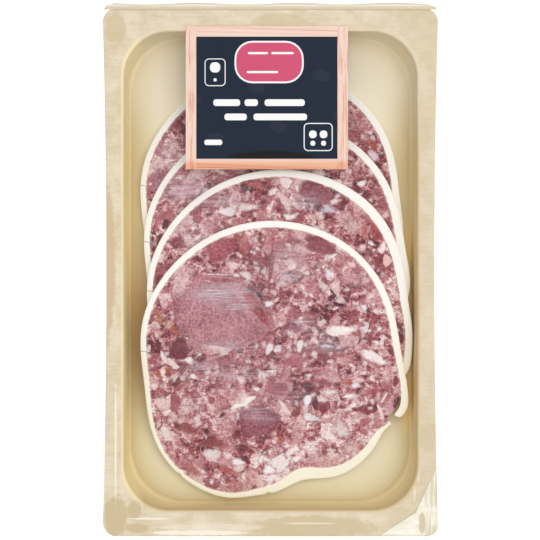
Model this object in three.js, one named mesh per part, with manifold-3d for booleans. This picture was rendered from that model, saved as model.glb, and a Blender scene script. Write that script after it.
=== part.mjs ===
// A sealed pack of four shingled slices of pork snout terrine with tongue.
// Millimetres. The pack lies flat with its film up: X runs across it, +Y towards the label end
// and +Z up. The origin is on the ground, under the middle of the pack.
import * as THREE from 'three';
import { mergeVertices } from 'three/addons/utils/BufferGeometryUtils.js';
import Module from 'manifold-3d';

const wasm = await Module();
wasm.setup();

// Pack
const PACK_WIDTH = 150.2;
const PACK_LENGTH = 239.2;
const TRAY_HEIGHT = 18;
const SHEET = 0.6;
const WAIST_BOW = 1.6;
const TOP_FILM_STRIP = 2.4;
const RIM_CORNER_RADIUS = 6.2;
const GAP = 0.3;

// Hollow of the tray, measured at the rim
const HOLLOW_WIDTH = 131.4;
const HOLLOW_LENGTH = 214.4;
const HOLLOW_CENTRE_Y = -0.5;
const HOLLOW_CORNER_RADIUS = 20.6;
const FLOOR_CORNER_RADIUS = 24.9;
const WALL_INSET = 1.3;
const FLOOR_INSET = 2.4;
const LIP_ROUND = 0.9;
const FLOOR_ROUND = 1.5;

// Slices
const SLICE_THICKNESS = 3.8;
const SHINGLE_STEP = 23;
const FRONT_SLICE_Y = -40.6;
const SLICE_RADIUS = 61.6;
const OVERHANG = 6;
const DROOP_LENGTH = 26;
const DRAPE_CELL = 6;

// Lid film and label
const FILM = 0.3;
const PEEL_START = 118.8;
const PEEL_REACH = 16;
const PEEL_LIFT = 1.4;
const LABEL_WIDTH = 72.7;
const LABEL_LENGTH = 64.2;
const LABEL_X = -1.6;
const LABEL_Y = 77;

const CORNER_STEPS = 6;
const SIDE_STEPS = 6;
const OUTLINE_STEPS = 96;
const PIECE_STEPS = 20;

const rad = THREE.MathUtils.degToRad;

// How far the rim of a slice stands out of, or in from, a circle: the middle of each bulge or
// flat in degrees, its width in degrees and its height.
const SLICE_BULGES = [
  { name: 'right flat', at: 3, wide: 24.5, out: -4.5 },
  { name: 'rind strip', at: 345, wide: 10.5, out: 3.6 },
  { name: 'break in the rind', at: 327, wide: 4.5, out: -1.4 },
  { name: 'crown', at: 95, wide: 32, out: 0.9 },
  { name: 'left flat', at: 191, wide: 15.5, out: -4.2 },
  { name: 'belly', at: 235, wide: 27.5, out: 5.7 },
  { name: 'end of the belly', at: 263, wide: 6.5, out: -2.3 },
  { name: 'dent', at: 283, wide: 9.5, out: -6.5 },
];

const SHOULDERS_1 = [
  { name: 'shoulder', at: 33, wide: 31, out: 2.7 },
  { name: 'crest', at: 50, wide: 30, out: 0.6 },
];
const SHOULDERS_2 = [
  { name: 'shoulder', at: 25, wide: 45, out: 1.5 },
];
const SHOULDERS_3 = [
  { name: 'end of the rind', at: 332, wide: 6.5, out: 4 },
  { name: 'shoulder', at: 40, wide: 26, out: 1.6 },
];
const SHOULDERS_4 = [
  { name: 'loose rind', at: 339.5, wide: 5, out: 2.2 },
];

// The slices come from one log, so they share an outline, and each has bulges of its own
// besides. The first lies lowest.
const SLICES = [
  { name: 'slice_1', x: -0.2, scale: 0.985, own: SHOULDERS_1 },
  { name: 'slice_2', x: 2.2, scale: 0.995, own: SHOULDERS_2 },
  { name: 'slice_3', x: 3.8, scale: 0.998, own: SHOULDERS_3 },
  { name: 'slice_4', x: 1.1, scale: 1, own: SHOULDERS_4 },
].map((slice, index, all) => ({
  ...slice,
  index,
  y: FRONT_SLICE_Y + SHINGLE_STEP * (all.length - 1 - index),
}));

// Whole pieces of meat and fat that show in a slice: place, half sizes, turn and lobes.
const PIECES = [
  { name: 'tongue_piece', slice: 3, x: -22.2, y: -18.8, long: 23.2, short: 17.2, turn: -14, lobes: 3,
    depth: 0.04, color: 0xb2707d },
  { name: 'muscle_top', slice: 3, x: -22.2, y: 9.4, long: 7.6, short: 5.4, turn: 25, lobes: 3,
    depth: 0.12, color: 0x99384a },
  { name: 'muscle_right', slice: 3, x: 21.3, y: 10.8, long: 8.6, short: 4, turn: -24, lobes: 3,
    depth: 0.08, color: 0x95505f },
  { name: 'muscle_left', slice: 3, x: -40.8, y: -35.6, long: 5.8, short: 5, turn: 80, lobes: 3,
    depth: 0.08, color: 0x7b3d4b },
  { name: 'muscle_low', slice: 3, x: -5.6, y: -69, long: 9.7, short: 8, turn: 8, lobes: 3,
    depth: 0.07, color: 0x84384c },
  { name: 'cartilage_piece', slice: 3, x: 31.2, y: -27.4, long: 7.6, short: 2.6, turn: 4, lobes: 3,
    depth: 0.1, color: 0xe3cbc6 },
  { name: 'fat_right', slice: 3, x: 46.4, y: -39.4, long: 7.8, short: 2.6, turn: -28, lobes: 3,
    depth: 0.1, color: 0xe3cbd0 },
  { name: 'fat_low', slice: 3, x: 4.3, y: -87.2, long: 6.8, short: 4.2, turn: 40, lobes: 3,
    depth: 0.1, color: 0xeeddde },
  { name: 'muscle_behind', slice: 2, x: 20.2, y: 35, long: 9, short: 5, turn: -22, lobes: 3,
    depth: 0.08, color: 0x95505f },
];

// The last stretch of the front slice's rind has come away from the meat. The slit between
// them starts narrow in the rim and opens out of it. Its corners run up one side and down the
// other.
const RIND_SLIT = [
  [58, -57], [57.7, -62], [57.9, -65], [59.6, -66.4], [62.5, -67], [58, -72],
  [52.8, -68.9], [53.8, -66.4], [55.8, -62.2],
];

// Turns a three.js geometry into a solid that can be joined and cut.
function toSolid(geometry) {
  const shell = geometry.clone();
  shell.deleteAttribute('normal');
  shell.deleteAttribute('uv');
  const merged = mergeVertices(shell, 1e-4);
  const mesh = new wasm.Mesh({
    numProp: 3,
    vertProperties: new Float32Array(merged.attributes.position.array),
    triVerts: new Uint32Array(merged.index.array),
  });
  return new wasm.Manifold(mesh);
}

function toGeometry(solid) {
  const mesh = solid.getMesh();
  const geometry = new THREE.BufferGeometry();
  geometry.setAttribute('position', new THREE.BufferAttribute(mesh.vertProperties, mesh.numProp));
  geometry.setIndex(new THREE.BufferAttribute(mesh.triVerts, 1));
  geometry.computeVertexNormals();
  return geometry;
}

// An upright solid over a closed outline, tall enough to pass through the whole pack.
function prism(points) {
  const low = -5;
  const geometry = new THREE.ExtrudeGeometry(new THREE.Shape(points), {
    depth: TRAY_HEIGHT - 2 * low,
    bevelEnabled: false,
  });
  geometry.translate(0, 0, low);
  return toSolid(geometry);
}

// One level ring of a rounded rectangle, anticlockwise from above. The long sides may bow in.
function roundedRing({ halfWidth, halfLength, radius, z, bow = 0, centreY = 0 }) {
  const ring = [];
  const flatX = halfWidth - radius;
  const flatY = halfLength - radius;
  for (let side = 0; side < 4; side += 1) {
    const upright = side % 2 === 0;
    const direction = side < 2 ? 1 : -1;
    const half = upright ? flatY : flatX;
    for (let step = 0; step < SIDE_STEPS; step += 1) {
      const along = half * (2 * step / SIDE_STEPS - 1);
      const inward = upright ? bow * (1 - (along / half) ** 2) : 0;
      const x = upright ? direction * (halfWidth - inward) : -direction * along;
      const y = upright ? direction * along : direction * halfLength;
      ring.push(new THREE.Vector3(x, centreY + y, z));
    }
    const cornerX = side === 0 || side === 3 ? flatX : -flatX;
    const cornerY = side < 2 ? flatY : -flatY;
    for (let step = 0; step < CORNER_STEPS; step += 1) {
      const angle = rad(90 * (side + step / CORNER_STEPS));
      const x = cornerX + radius * Math.cos(angle);
      const y = cornerY + radius * Math.sin(angle);
      ring.push(new THREE.Vector3(x, centreY + y, z));
    }
  }
  return ring;
}

// A closed skin through rings that have the same number of points. It begins under the piece,
// runs outward and round the edge, and ends on top, with a fan to the middle at both ends.
function closedLoft(rings) {
  const count = rings[0].length;
  const positions = [];
  const triangle = (a, b, c) => positions.push(...a.toArray(), ...b.toArray(), ...c.toArray());
  const middle = (ring) => ring
    .reduce((sum, point) => sum.add(point), new THREE.Vector3())
    .divideScalar(ring.length);
  const first = rings[0];
  const last = rings[rings.length - 1];
  const firstMiddle = middle(first);
  const lastMiddle = middle(last);
  for (let i = 0; i < count; i += 1) {
    const next = (i + 1) % count;
    triangle(firstMiddle, first[next], first[i]);
    triangle(lastMiddle, last[i], last[next]);
    for (let k = 0; k + 1 < rings.length; k += 1) {
      triangle(rings[k][i], rings[k + 1][next], rings[k + 1][i]);
      triangle(rings[k][i], rings[k][next], rings[k + 1][next]);
    }
  }
  const geometry = new THREE.BufferGeometry();
  geometry.setAttribute('position', new THREE.Float32BufferAttribute(positions, 3));
  geometry.computeVertexNormals();
  return geometry;
}

// The thermoformed tray: floor, rounded foot, slightly leaning wall, lip and wide flat rim.
function trayGeometry() {
  const hollow = (inset, cornerRadius, z) => roundedRing({
    halfWidth: HOLLOW_WIDTH / 2 - inset,
    halfLength: HOLLOW_LENGTH / 2 - inset,
    radius: cornerRadius,
    centreY: HOLLOW_CENTRE_Y,
    z,
  });
  const rim = (z) => roundedRing({
    halfWidth: PACK_WIDTH / 2,
    halfLength: (PACK_LENGTH - TOP_FILM_STRIP) / 2,
    radius: RIM_CORNER_RADIUS,
    bow: WAIST_BOW,
    centreY: -TOP_FILM_STRIP / 2,
    z,
  });
  const wallRadius = (HOLLOW_CORNER_RADIUS + FLOOR_CORNER_RADIUS) / 2;
  const footInset = FLOOR_INSET + WALL_INSET;
  const rimBottom = TRAY_HEIGHT - SHEET;
  return closedLoft([
    hollow(footInset / 2, FLOOR_CORNER_RADIUS, 0),
    hollow(WALL_INSET - 0.4 * SHEET, wallRadius, FLOOR_ROUND / 3),
    hollow(WALL_INSET - 0.9 * SHEET, wallRadius, FLOOR_ROUND),
    hollow(-SHEET, HOLLOW_CORNER_RADIUS, rimBottom - LIP_ROUND),
    hollow(-LIP_ROUND - SHEET, HOLLOW_CORNER_RADIUS, rimBottom),
    rim(rimBottom),
    rim(TRAY_HEIGHT),
    hollow(-LIP_ROUND, HOLLOW_CORNER_RADIUS, TRAY_HEIGHT),
    hollow(-LIP_ROUND / 4, HOLLOW_CORNER_RADIUS, TRAY_HEIGHT - LIP_ROUND / 3),
    hollow(0, HOLLOW_CORNER_RADIUS, TRAY_HEIGHT - LIP_ROUND),
    hollow(WALL_INSET, wallRadius, SHEET + FLOOR_ROUND),
    hollow((WALL_INSET + FLOOR_INSET) / 2, wallRadius, SHEET + FLOOR_ROUND / 3),
    hollow(FLOOR_INSET, FLOOR_CORNER_RADIUS, SHEET),
  ]);
}

// How far the bulges move the rim outward in the direction of an angle in degrees.
function bulgeHeight(list, angle) {
  let height = 0;
  for (const bulge of list) {
    const away = THREE.MathUtils.euclideanModulo(angle - bulge.at + 180, 360) - 180;
    height += bulge.out * Math.exp(-0.5 * (away / bulge.wide) ** 2);
  }
  return height;
}

// Distance from a slice's middle to its rim in the direction of an angle in degrees.
function sliceRadius(angle, slice) {
  const shared = SLICE_RADIUS + bulgeHeight(SLICE_BULGES, angle);
  return shared * slice.scale + bulgeHeight(slice.own, angle);
}

function sliceOutline(slice) {
  const points = [];
  for (let i = 0; i < OUTLINE_STEPS; i += 1) {
    const angle = 360 * i / OUTLINE_STEPS;
    const radius = sliceRadius(angle, slice);
    const x = slice.x + radius * Math.cos(rad(angle));
    const y = slice.y + radius * Math.sin(rad(angle));
    points.push(new THREE.Vector2(x, y));
  }
  return points;
}

// How much of its own thickness a slice lends to what lies on it: all of it over the slice and
// a little past its rim, then less and less until the upper slice has drooped to the floor.
function support(slice, x, y) {
  const angle = THREE.MathUtils.radToDeg(Math.atan2(y - slice.y, x - slice.x));
  const beyond = Math.hypot(x - slice.x, y - slice.y) - sliceRadius(angle, slice);
  return 1 - THREE.MathUtils.smoothstep(beyond, OVERHANG, OVERHANG + DROOP_LENGTH);
}

// Height of the underside of a slice, draped over the slices below it.
function undersideHeight(index, x, y) {
  let height = SHEET + GAP;
  for (const lower of SLICES.slice(0, index)) {
    height += (SLICE_THICKNESS + GAP) * support(lower, x, y);
  }
  return height;
}

// A sheet of terrine over the whole hollow, as thick as a slice and draped like it.
function drapedSheet(index) {
  const cellsX = Math.ceil(HOLLOW_WIDTH / DRAPE_CELL);
  const cellsY = Math.ceil(HOLLOW_LENGTH / DRAPE_CELL);
  const geometry = new THREE.BoxGeometry(
    cellsX * DRAPE_CELL, cellsY * DRAPE_CELL, SLICE_THICKNESS, cellsX, cellsY, 1);
  const position = geometry.attributes.position;
  for (let i = 0; i < position.count; i += 1) {
    const under = undersideHeight(index, position.getX(i), position.getY(i));
    position.setZ(i, position.getZ(i) > 0 ? under + SLICE_THICKNESS : under);
  }
  return toSolid(geometry);
}

// The outline of a piece of meat or fat, grown outward by a margin.
function pieceOutline(piece, margin = 0) {
  const points = [];
  const long = piece.long + margin;
  const short = piece.short + margin;
  for (let i = 0; i < PIECE_STEPS; i += 1) {
    const angle = rad(360 * i / PIECE_STEPS);
    const lobe = 1 + piece.depth * Math.cos(piece.lobes * angle);
    const point = new THREE.Vector2(long * lobe * Math.cos(angle), short * lobe * Math.sin(angle));
    point.rotateAround(new THREE.Vector2(0, 0), rad(piece.turn));
    points.push(point.add(new THREE.Vector2(piece.x, piece.y)));
  }
  return points;
}

function sliceSolid(slice) {
  let solid = drapedSheet(slice.index).intersect(prism(sliceOutline(slice)));
  for (const piece of PIECES.filter((each) => each.slice === slice.index)) {
    solid = solid.subtract(prism(pieceOutline(piece, GAP)));
  }
  if (slice.index === SLICES.length - 1) {
    const slit = RIND_SLIT.map(([x, y]) => new THREE.Vector2(x, y));
    solid = solid.subtract(prism(slit));
  }
  return solid;
}

// A piece runs through its slice from face to face and drapes with it.
function pieceSolid(piece) {
  return drapedSheet(piece.slice).intersect(prism(pieceOutline(piece)));
}

// The clear film. It is sealed flat to the rim, runs past it at the label end, and stands free
// at the corner where it is meant to be peeled.
function filmGeometry() {
  const peelLift = (x, y) => {
    const beyond = (x - y) / Math.SQRT2 - PEEL_START;
    return PEEL_LIFT * THREE.MathUtils.clamp(beyond / PEEL_REACH, 0, 1) ** 1.5;
  };
  const filmRing = (inset, z) => {
    const ring = roundedRing({
      halfWidth: PACK_WIDTH / 2 - inset,
      halfLength: PACK_LENGTH / 2 - inset,
      radius: RIM_CORNER_RADIUS + inset / 2,
      bow: WAIST_BOW,
      z,
    });
    ring.forEach((point) => { point.z += peelLift(point.x, point.y); });
    return ring;
  };
  const under = TRAY_HEIGHT + GAP;
  const insets = [28, 14, 7, 0];
  return closedLoft([
    ...insets.map((inset) => filmRing(inset, under)),
    ...insets.toReversed().map((inset) => filmRing(inset, under + FILM)),
  ]);
}

function addMesh(group, name, geometry, look) {
  const mesh = new THREE.Mesh(geometry, new THREE.MeshStandardMaterial(look));
  mesh.name = name;
  group.add(mesh);
  return mesh;
}

const pack = new THREE.Group();

addMesh(pack, 'tray', trayGeometry(), { color: 0xe0d2ae, roughness: 0.5, metalness: 0 });

for (const slice of SLICES) {
  const look = { color: 0xb98086, roughness: 0.35, metalness: 0 };
  addMesh(pack, slice.name, toGeometry(sliceSolid(slice)), look);
}

for (const piece of PIECES) {
  const look = { color: piece.color, roughness: 0.35, metalness: 0 };
  addMesh(pack, piece.name, toGeometry(pieceSolid(piece)), look);
}

addMesh(pack, 'lid_film', filmGeometry(), {
  color: 0xf4f6f6, roughness: 0.1, metalness: 0, transparent: true, opacity: 0.15,
});

const label = addMesh(pack, 'label', new THREE.BoxGeometry(LABEL_WIDTH, LABEL_LENGTH, FILM), {
  color: 0x2b384b, roughness: 0.5, metalness: 0,
});
label.position.set(LABEL_X, LABEL_Y, TRAY_HEIGHT + 2 * GAP + 1.5 * FILM);

export default pack;
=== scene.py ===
# %% [markdown]
# # A sealed pack of shingled terrine slices
#
# The pack lies flat with its film up and is looked at from straight above. This lesson dresses
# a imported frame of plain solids: the tray, four slices of terrine with the whole pieces of meat
# and fat in them, the clear film and the label. Every step first says what the real thing is,
# then how it could be made, and why one way was chosen.

# %% Load the frame
import math

import bmesh
import bpy
import numpy as np
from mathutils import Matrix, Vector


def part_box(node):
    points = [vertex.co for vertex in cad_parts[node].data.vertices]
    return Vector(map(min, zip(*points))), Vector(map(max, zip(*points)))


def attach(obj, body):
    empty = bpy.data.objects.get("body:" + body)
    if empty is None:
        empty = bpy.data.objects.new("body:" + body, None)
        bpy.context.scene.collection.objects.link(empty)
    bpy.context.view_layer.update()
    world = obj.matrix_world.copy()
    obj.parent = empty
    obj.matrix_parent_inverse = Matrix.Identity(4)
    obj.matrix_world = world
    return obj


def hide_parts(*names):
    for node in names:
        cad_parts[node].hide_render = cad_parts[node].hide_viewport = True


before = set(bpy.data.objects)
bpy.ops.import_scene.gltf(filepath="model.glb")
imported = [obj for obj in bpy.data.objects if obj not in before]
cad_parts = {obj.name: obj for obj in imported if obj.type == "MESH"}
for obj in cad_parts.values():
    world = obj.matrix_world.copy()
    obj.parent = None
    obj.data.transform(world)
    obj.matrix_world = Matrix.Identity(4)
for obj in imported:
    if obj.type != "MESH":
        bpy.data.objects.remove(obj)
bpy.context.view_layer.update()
print("nodes in the frame:", len(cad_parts))

# %% [markdown]
# ## Measures
#
# The frame is in metres, but a pack is easier to think of in millimetres, so each mesh is
# shaped in millimetres and scaled once, when it becomes an object. The sizes of the tray, the
# film and the label come from the boxes of their solids. What a box can't tell, such as how far
# the wall stands from the rim, is a named value.

# %% Sizes of the pack, in millimetres
MM = 0.001
TRAY_LOW, TRAY_HIGH = [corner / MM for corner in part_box("tray")]
FILM_LOW, FILM_HIGH = [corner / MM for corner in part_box("lid_film")]
LABEL_LOW, LABEL_HIGH = [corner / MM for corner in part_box("label")]
SHEET = 0.6
WAIST_BOW = 1.6
HOLLOW_WIDTH = 131.4
HOLLOW_LENGTH = 214.4
HOLLOW_Y = -0.5
HOLLOW_CORNER = 20.6
FLOOR_CORNER = 24.9
RIM_CORNER = 6.2
print("tray", [round(size, 1) for size in TRAY_HIGH - TRAY_LOW])

# %% Sizes of the slices, in millimetres
SLICE_THICKNESS = 3.8
LAYER_GAP = 0.3
SHINGLE_STEP = 23.0
FRONT_SLICE_Y = -40.6
SLICE_RADIUS = 61.6
OVERHANG = 6.0
DROOP_LENGTH = 26.0
SLICES = [
    {"node": "slice_1", "x": -0.2, "scale": 0.985, "cells": 180, "seam": 170.5,
     "own": [(33, 31, 2.7), (50, 30, 0.6)], "rind": [(30, 30, 0.4)]},
    {"node": "slice_2", "x": 2.2, "scale": 0.995, "cells": 180, "seam": 173.0,
     "own": [(25, 45, 1.5)], "rind": [(14, 20, 0.8)]},
    {"node": "slice_3", "x": 3.8, "scale": 0.998, "cells": 200, "seam": 172.2,
     "own": [(332, 6.5, 4.0), (40, 26, 1.6)],
     "rind": [(38, 28, 1.3), (332, 5, 1.7), (342, 8, 0.5)]},
    {"node": "slice_4", "x": 1.1, "scale": 1.0, "cells": 250, "seam": 176.2,
     "own": [(339.5, 5, 2.2)], "rind": [(12, 20, 0.3)]},
]
for number, one in enumerate(SLICES):
    one["index"] = number
    one["y"] = FRONT_SLICE_Y + SHINGLE_STEP * (len(SLICES) - 1 - number)
FRONT = SLICES[-1]

# Bulges and flats of the rim: middle and width in degrees, height in millimetres. Each slice
# has some of its own besides, in its rim and in the width of its rind.
RIM_BULGES = [(3, 24.5, -4.5), (345, 10.5, 3.6), (327, 4.5, -1.4), (95, 32, 0.9),
              (191, 15.5, -4.2), (235, 27.5, 5.7), (263, 6.5, -2.3), (283, 9.5, -6.5)]
# Small nicks in the front slice's rim, written the same way.
RIM_NICKS = [(268, 0.7, -0.8), (231, 0.6, -0.7)]
# The rind is as wide as this, and wider or narrower round these angles.
RIND_WIDTH = 2.5
RIND_BULGES = [(15, 25, 0.3), (90, 30, 0.4), (286, 13, 3.0), (316, 12, 0.9), (222, 22, -0.8), (180, 30, 0.1),
               (332, 5, -1.7)]
# Between these angles the front slice has lost its rind, and its meat ends at these radii.
BARE_FROM, BARE_TO = 332.5, 345.0
BARE_RADII = 58.0, 59.7

# %% [markdown]
# ## The camera
#
# The pack is seen from straight above, so flat that nothing leans. A long lens far away gives
# that look and still is a real camera, where an orthographic one would show no depth at all.
# The lens follows from the width that the picture covers at the height of the rim.

# %% Camera
PICTURE_WIDTH = 242.1
CAMERA_HEIGHT = 1500.0
camera_data = bpy.data.cameras.new("camera")
camera_data.sensor_width = 36.0
camera_data.lens = camera_data.sensor_width * (CAMERA_HEIGHT - TRAY_HIGH[2]) / PICTURE_WIDTH
camera_data.clip_end = 10.0
camera = bpy.data.objects.new("camera", camera_data)
camera.location = (-0.2 * MM, -0.2 * MM, CAMERA_HEIGHT * MM)
bpy.context.scene.collection.objects.link(camera)
bpy.context.scene.camera = camera
print("lens", round(camera_data.lens, 1), "mm")

# %% [markdown]
# ## Light and floor
#
# Food packs are shot in even, soft light, so that the film doesn't mirror a lamp. A pale world
# lights from all round, and one large panel overhead gives the hollow its gentle depth. The
# floor is a plain pale sheet.

# %% Light
WORLD_STRENGTH = 0.72
PANEL_POWER = 15.0
PANEL_SIZE = 1.6
PANEL_PLACE = (0.45, 0.15, 1.9)
world = bpy.data.worlds.new("studio")
world.use_nodes = True
world.node_tree.nodes["Background"].inputs["Color"].default_value = (1.0, 1.0, 1.0, 1.0)
world.node_tree.nodes["Background"].inputs["Strength"].default_value = WORLD_STRENGTH
bpy.context.scene.world = world
panel_data = bpy.data.lights.new("panel", "AREA")
panel_data.energy = PANEL_POWER
panel_data.size = PANEL_SIZE
panel = bpy.data.objects.new("panel", panel_data)
panel.location = PANEL_PLACE
panel.rotation_euler = (-math.atan2(PANEL_PLACE[1], PANEL_PLACE[2]),
                        math.atan2(PANEL_PLACE[0], PANEL_PLACE[2]), 0.0)
bpy.context.scene.collection.objects.link(panel)
bpy.context.scene.view_settings.view_transform = "Standard"

# %% [markdown]
# ## Short words for shader trees
#
# A material is a tree of nodes. Making each node by hand takes four or five lines, and the
# meaning drowns in them. This small class gives each common node a short method that links or
# sets its inputs and returns its output, so a recipe reads like a sum.

# %% Shader helper
def linear(red, green, blue):
    """A colour as seen on a screen, 0 to 255, as the linear light that Blender mixes."""
    def channel(value):
        share = value / 255
        return share / 12.92 if share <= 0.04045 else ((share + 0.055) / 1.055) ** 2.4
    return channel(red), channel(green), channel(blue), 1.0


class Recipe:
    """Adds nodes to one tree. Every method returns an output that the next one can take."""

    def __init__(self, tree):
        self.tree = tree

    def add(self, kind, inputs, output=0, **settings):
        made = self.tree.nodes.new("ShaderNode" + kind)
        for key, value in settings.items():
            setattr(made, key, value)
        for key, value in inputs.items():
            self.give(made.inputs[key], value)
        return made.outputs[output]

    def give(self, socket, value):
        if isinstance(value, bpy.types.NodeSocket):
            self.tree.links.new(value, socket)
        else:
            socket.default_value = value

    def math(self, operation, first, second=0.0, clamp=False):
        return self.add("Math", {0: first, 1: second}, operation=operation, use_clamp=clamp)

    def step(self, value, low, high, start=0.0, end=1.0):
        """Turns value smoothly from start to end while it goes from low to high."""
        ends = {"From Min": low, "From Max": high, "To Min": start, "To Max": end}
        return self.add("MapRange", {"Value": value, **ends}, interpolation_type="SMOOTHSTEP")

    def mix(self, share, first, second, blend="MIX"):
        inputs = {0: share, 6: first, 7: second}
        return self.add("Mix", inputs, output=2, data_type="RGBA", blend_type=blend)

    def scale(self, vector, factors):
        return self.add("VectorMath", {0: vector, 1: factors}, operation="MULTIPLY")

    def plus(self, vector, other):
        return self.add("VectorMath", {0: vector, 1: other}, operation="ADD")

    def noise(self, vector, scale, detail=2.0, roughness=0.5, output="Fac", swirl=0.0):
        inputs = {"Vector": vector, "Scale": scale, "Detail": detail, "Roughness": roughness,
                  "Distortion": swirl}
        return self.add("TexNoise", inputs, output=output)

    def cells(self, vector, scale, output="Color", feature="F1", soft=None):
        """Random cells seen from above. With soft, their colours run into each other."""
        made = self.tree.nodes.new("ShaderNodeTexVoronoi")
        made.voronoi_dimensions = "2D"
        made.feature = feature if soft is None else "SMOOTH_F1"
        self.give(made.inputs["Vector"], vector)
        made.inputs["Scale"].default_value = scale
        if soft is not None:
            made.inputs["Smoothness"].default_value = soft
        return made.outputs[output]

    def channels(self, color):
        split = self.tree.nodes.new("ShaderNodeSeparateColor")
        self.tree.links.new(color, split.inputs[0])
        return list(split.outputs)

    def ramp(self, value, stops, interpolation="LINEAR"):
        made = self.tree.nodes.new("ShaderNodeValToRGB")
        made.color_ramp.interpolation = interpolation
        elements = made.color_ramp.elements
        while len(elements) < len(stops):
            elements.new(1.0)
        for element, (place, color) in zip(elements, stops):
            element.position = place
            element.color = color
        self.give(made.inputs[0], value)
        return made.outputs[0]

    def bump(self, height, strength, distance):
        inputs = {"Height": height, "Strength": strength, "Distance": distance}
        return self.add("Bump", inputs)

    def spot(self, place, middle, halves, waver):
        """1 inside an upright oval round middle and 0 outside, with an uneven edge."""
        away = self.plus(place, (-middle[0], -middle[1], 0.0))
        away = self.scale(away, (1 / halves[0], 1 / halves[1], 0.0))
        length = self.add("VectorMath", {0: away}, output=1, operation="LENGTH")
        return self.step(self.math("ADD", length, waver), 0.8, 1.1, 1.0, 0.0)

    def named(self, attribute, output="Fac"):
        return self.add("Attribute", {}, output=output, attribute_name=attribute)

    def millimetres(self):
        """The place on the object in millimetres."""
        place = self.add("TexCoord", {}, output="Object")
        return self.scale(place, (1 / MM, 1 / MM, 1 / MM))


def new_material(name, make_surface, **fixed):
    """A material whose Principled sockets come from make_surface or are plain numbers."""
    material = bpy.data.materials.new(name)
    material.use_nodes = True
    recipe = Recipe(material.node_tree)
    shader = material.node_tree.nodes["Principled BSDF"]
    for socket, value in fixed.items():
        shader.inputs[socket.replace("_", " ")].default_value = value
    for socket, value in make_surface(recipe).items():
        recipe.give(shader.inputs[socket], value)
    return material


def new_group(name, takes, gives, build):
    """A shader node group with named inputs and outputs, filled by build."""
    group = bpy.data.node_groups.new(name, "ShaderNodeTree")
    for label, kind in takes.items():
        group.interface.new_socket(label, in_out="INPUT", socket_type="NodeSocket" + kind)
    for label, kind in gives.items():
        group.interface.new_socket(label, in_out="OUTPUT", socket_type="NodeSocket" + kind)
    entry = group.nodes.new("NodeGroupInput")
    result = group.nodes.new("NodeGroupOutput")
    recipe = Recipe(group)
    for label, value in build(recipe, entry.outputs).items():
        recipe.give(result.inputs[label], value)
    return group


def use_group(recipe, group, inputs):
    """Places a group in a recipe and returns its outputs by name."""
    made = recipe.tree.nodes.new("ShaderNodeGroup")
    made.node_tree = group
    for key, value in inputs.items():
        recipe.give(made.inputs[key], value)
    return made.outputs


# %% Floor
FLOOR_SIZE = 3.0
floor_bm = bmesh.new()
bmesh.ops.create_grid(floor_bm, x_segments=1, y_segments=1, size=FLOOR_SIZE / 2)
floor_mesh = bpy.data.meshes.new("floor")
floor_bm.to_mesh(floor_mesh)
floor_bm.free()
floor_piece = bpy.data.objects.new("floor", floor_mesh)
floor_mesh.materials.append(new_material(
    "pale floor",
    lambda recipe: {"Base Color": recipe.mix(
        recipe.noise(recipe.millimetres(), 0.004), linear(250, 250, 250), linear(253, 253, 253))},
    Roughness=0.9, Specular_IOR_Level=0.1, Emission_Color=(1.0, 1.0, 1.0, 1.0),
    Emission_Strength=0.4))
bpy.context.scene.collection.objects.link(floor_piece)

# %% [markdown]
# ## From a bmesh to a piece
#
# Every piece ends the same way: its mesh is scaled to metres, gets its material, rides on the
# pack and hides any solids of the frame that it stands for.

# %% Finishing a piece
def to_piece(bm, name, material, nodes=(), smooth=True):
    bmesh.ops.scale(bm, vec=(MM, MM, MM), verts=bm.verts)
    mesh = bpy.data.meshes.new(name)
    bm.to_mesh(mesh)
    bm.free()
    mesh.polygons.foreach_set("use_smooth", [smooth] * len(mesh.polygons))
    mesh.materials.append(material)
    piece = bpy.data.objects.new(name, mesh)
    bpy.context.scene.collection.objects.link(piece)
    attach(piece, "root")
    if nodes:
        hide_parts(*nodes)
    print(name, len(mesh.polygons), "faces")
    return piece


# %% [markdown]
# ## The tray's plastic
#
# The tray is beige sheet with fine dark and light flecks. Where the film is sealed to the rim
# the plastic looks a little darker and wetter, and thin bright slivers on it are painted
# highlights where creases of the film catch the light. One group makes the flecks. The mesh
# tells how far inwards each point is from the hollow's top edge, and a ramp over that number
# paints the wall's lighter band between two darker lines and the shade that darkens the floor
# near the walls: painted light and shade over the beige. The patches and slivers on the rim
# are ovals with an uneven edge.

# %% Tray material
def build_flecks(recipe, given):
    place = given["Place"]
    dark = recipe.step(recipe.noise(place, 1.7, 3.0, 0.7), 0.66, 0.76)
    pale = recipe.step(recipe.noise(recipe.plus(place, (40.0, 7.0, 3.0)), 2.3, 2.0), 0.66, 0.8)
    tone = recipe.mix(recipe.math("MULTIPLY", dark, 0.16), given["Color"],
                      linear(150, 125, 80))
    tone = recipe.mix(recipe.math("MULTIPLY", pale, 0.2), tone, linear(255, 250, 235))
    return {"Color": tone, "Height": recipe.math("SUBTRACT", pale, dark)}


flecks = new_group("plastic flecks", {"Place": "Vector", "Color": "Color"},
                   {"Color": "Color", "Height": "Float"}, build_flecks)


# Colours of the hollow by how far inwards from its top edge, in millimetres. Over the beige
# they paint shade, as darker lines at the lip and the wall's foot and a floor that darkens
# towards the walls, and light, as a lighter band on the wall.
HOLLOW_TONES_AND_SHADE = [(-1.0, (220, 203, 166)), (0.0, (212, 188, 136)), (1.3, (240, 222, 174)),
                (2.2, (224, 204, 154)), (3.0, (206, 183, 130)), (4.2, (213, 196, 150)),
                (7.0, (223, 210, 169)), (10.5, (232, 221, 185)), (16.0, (239, 229, 199)),
                (22.0, (243, 232, 205))]
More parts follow.
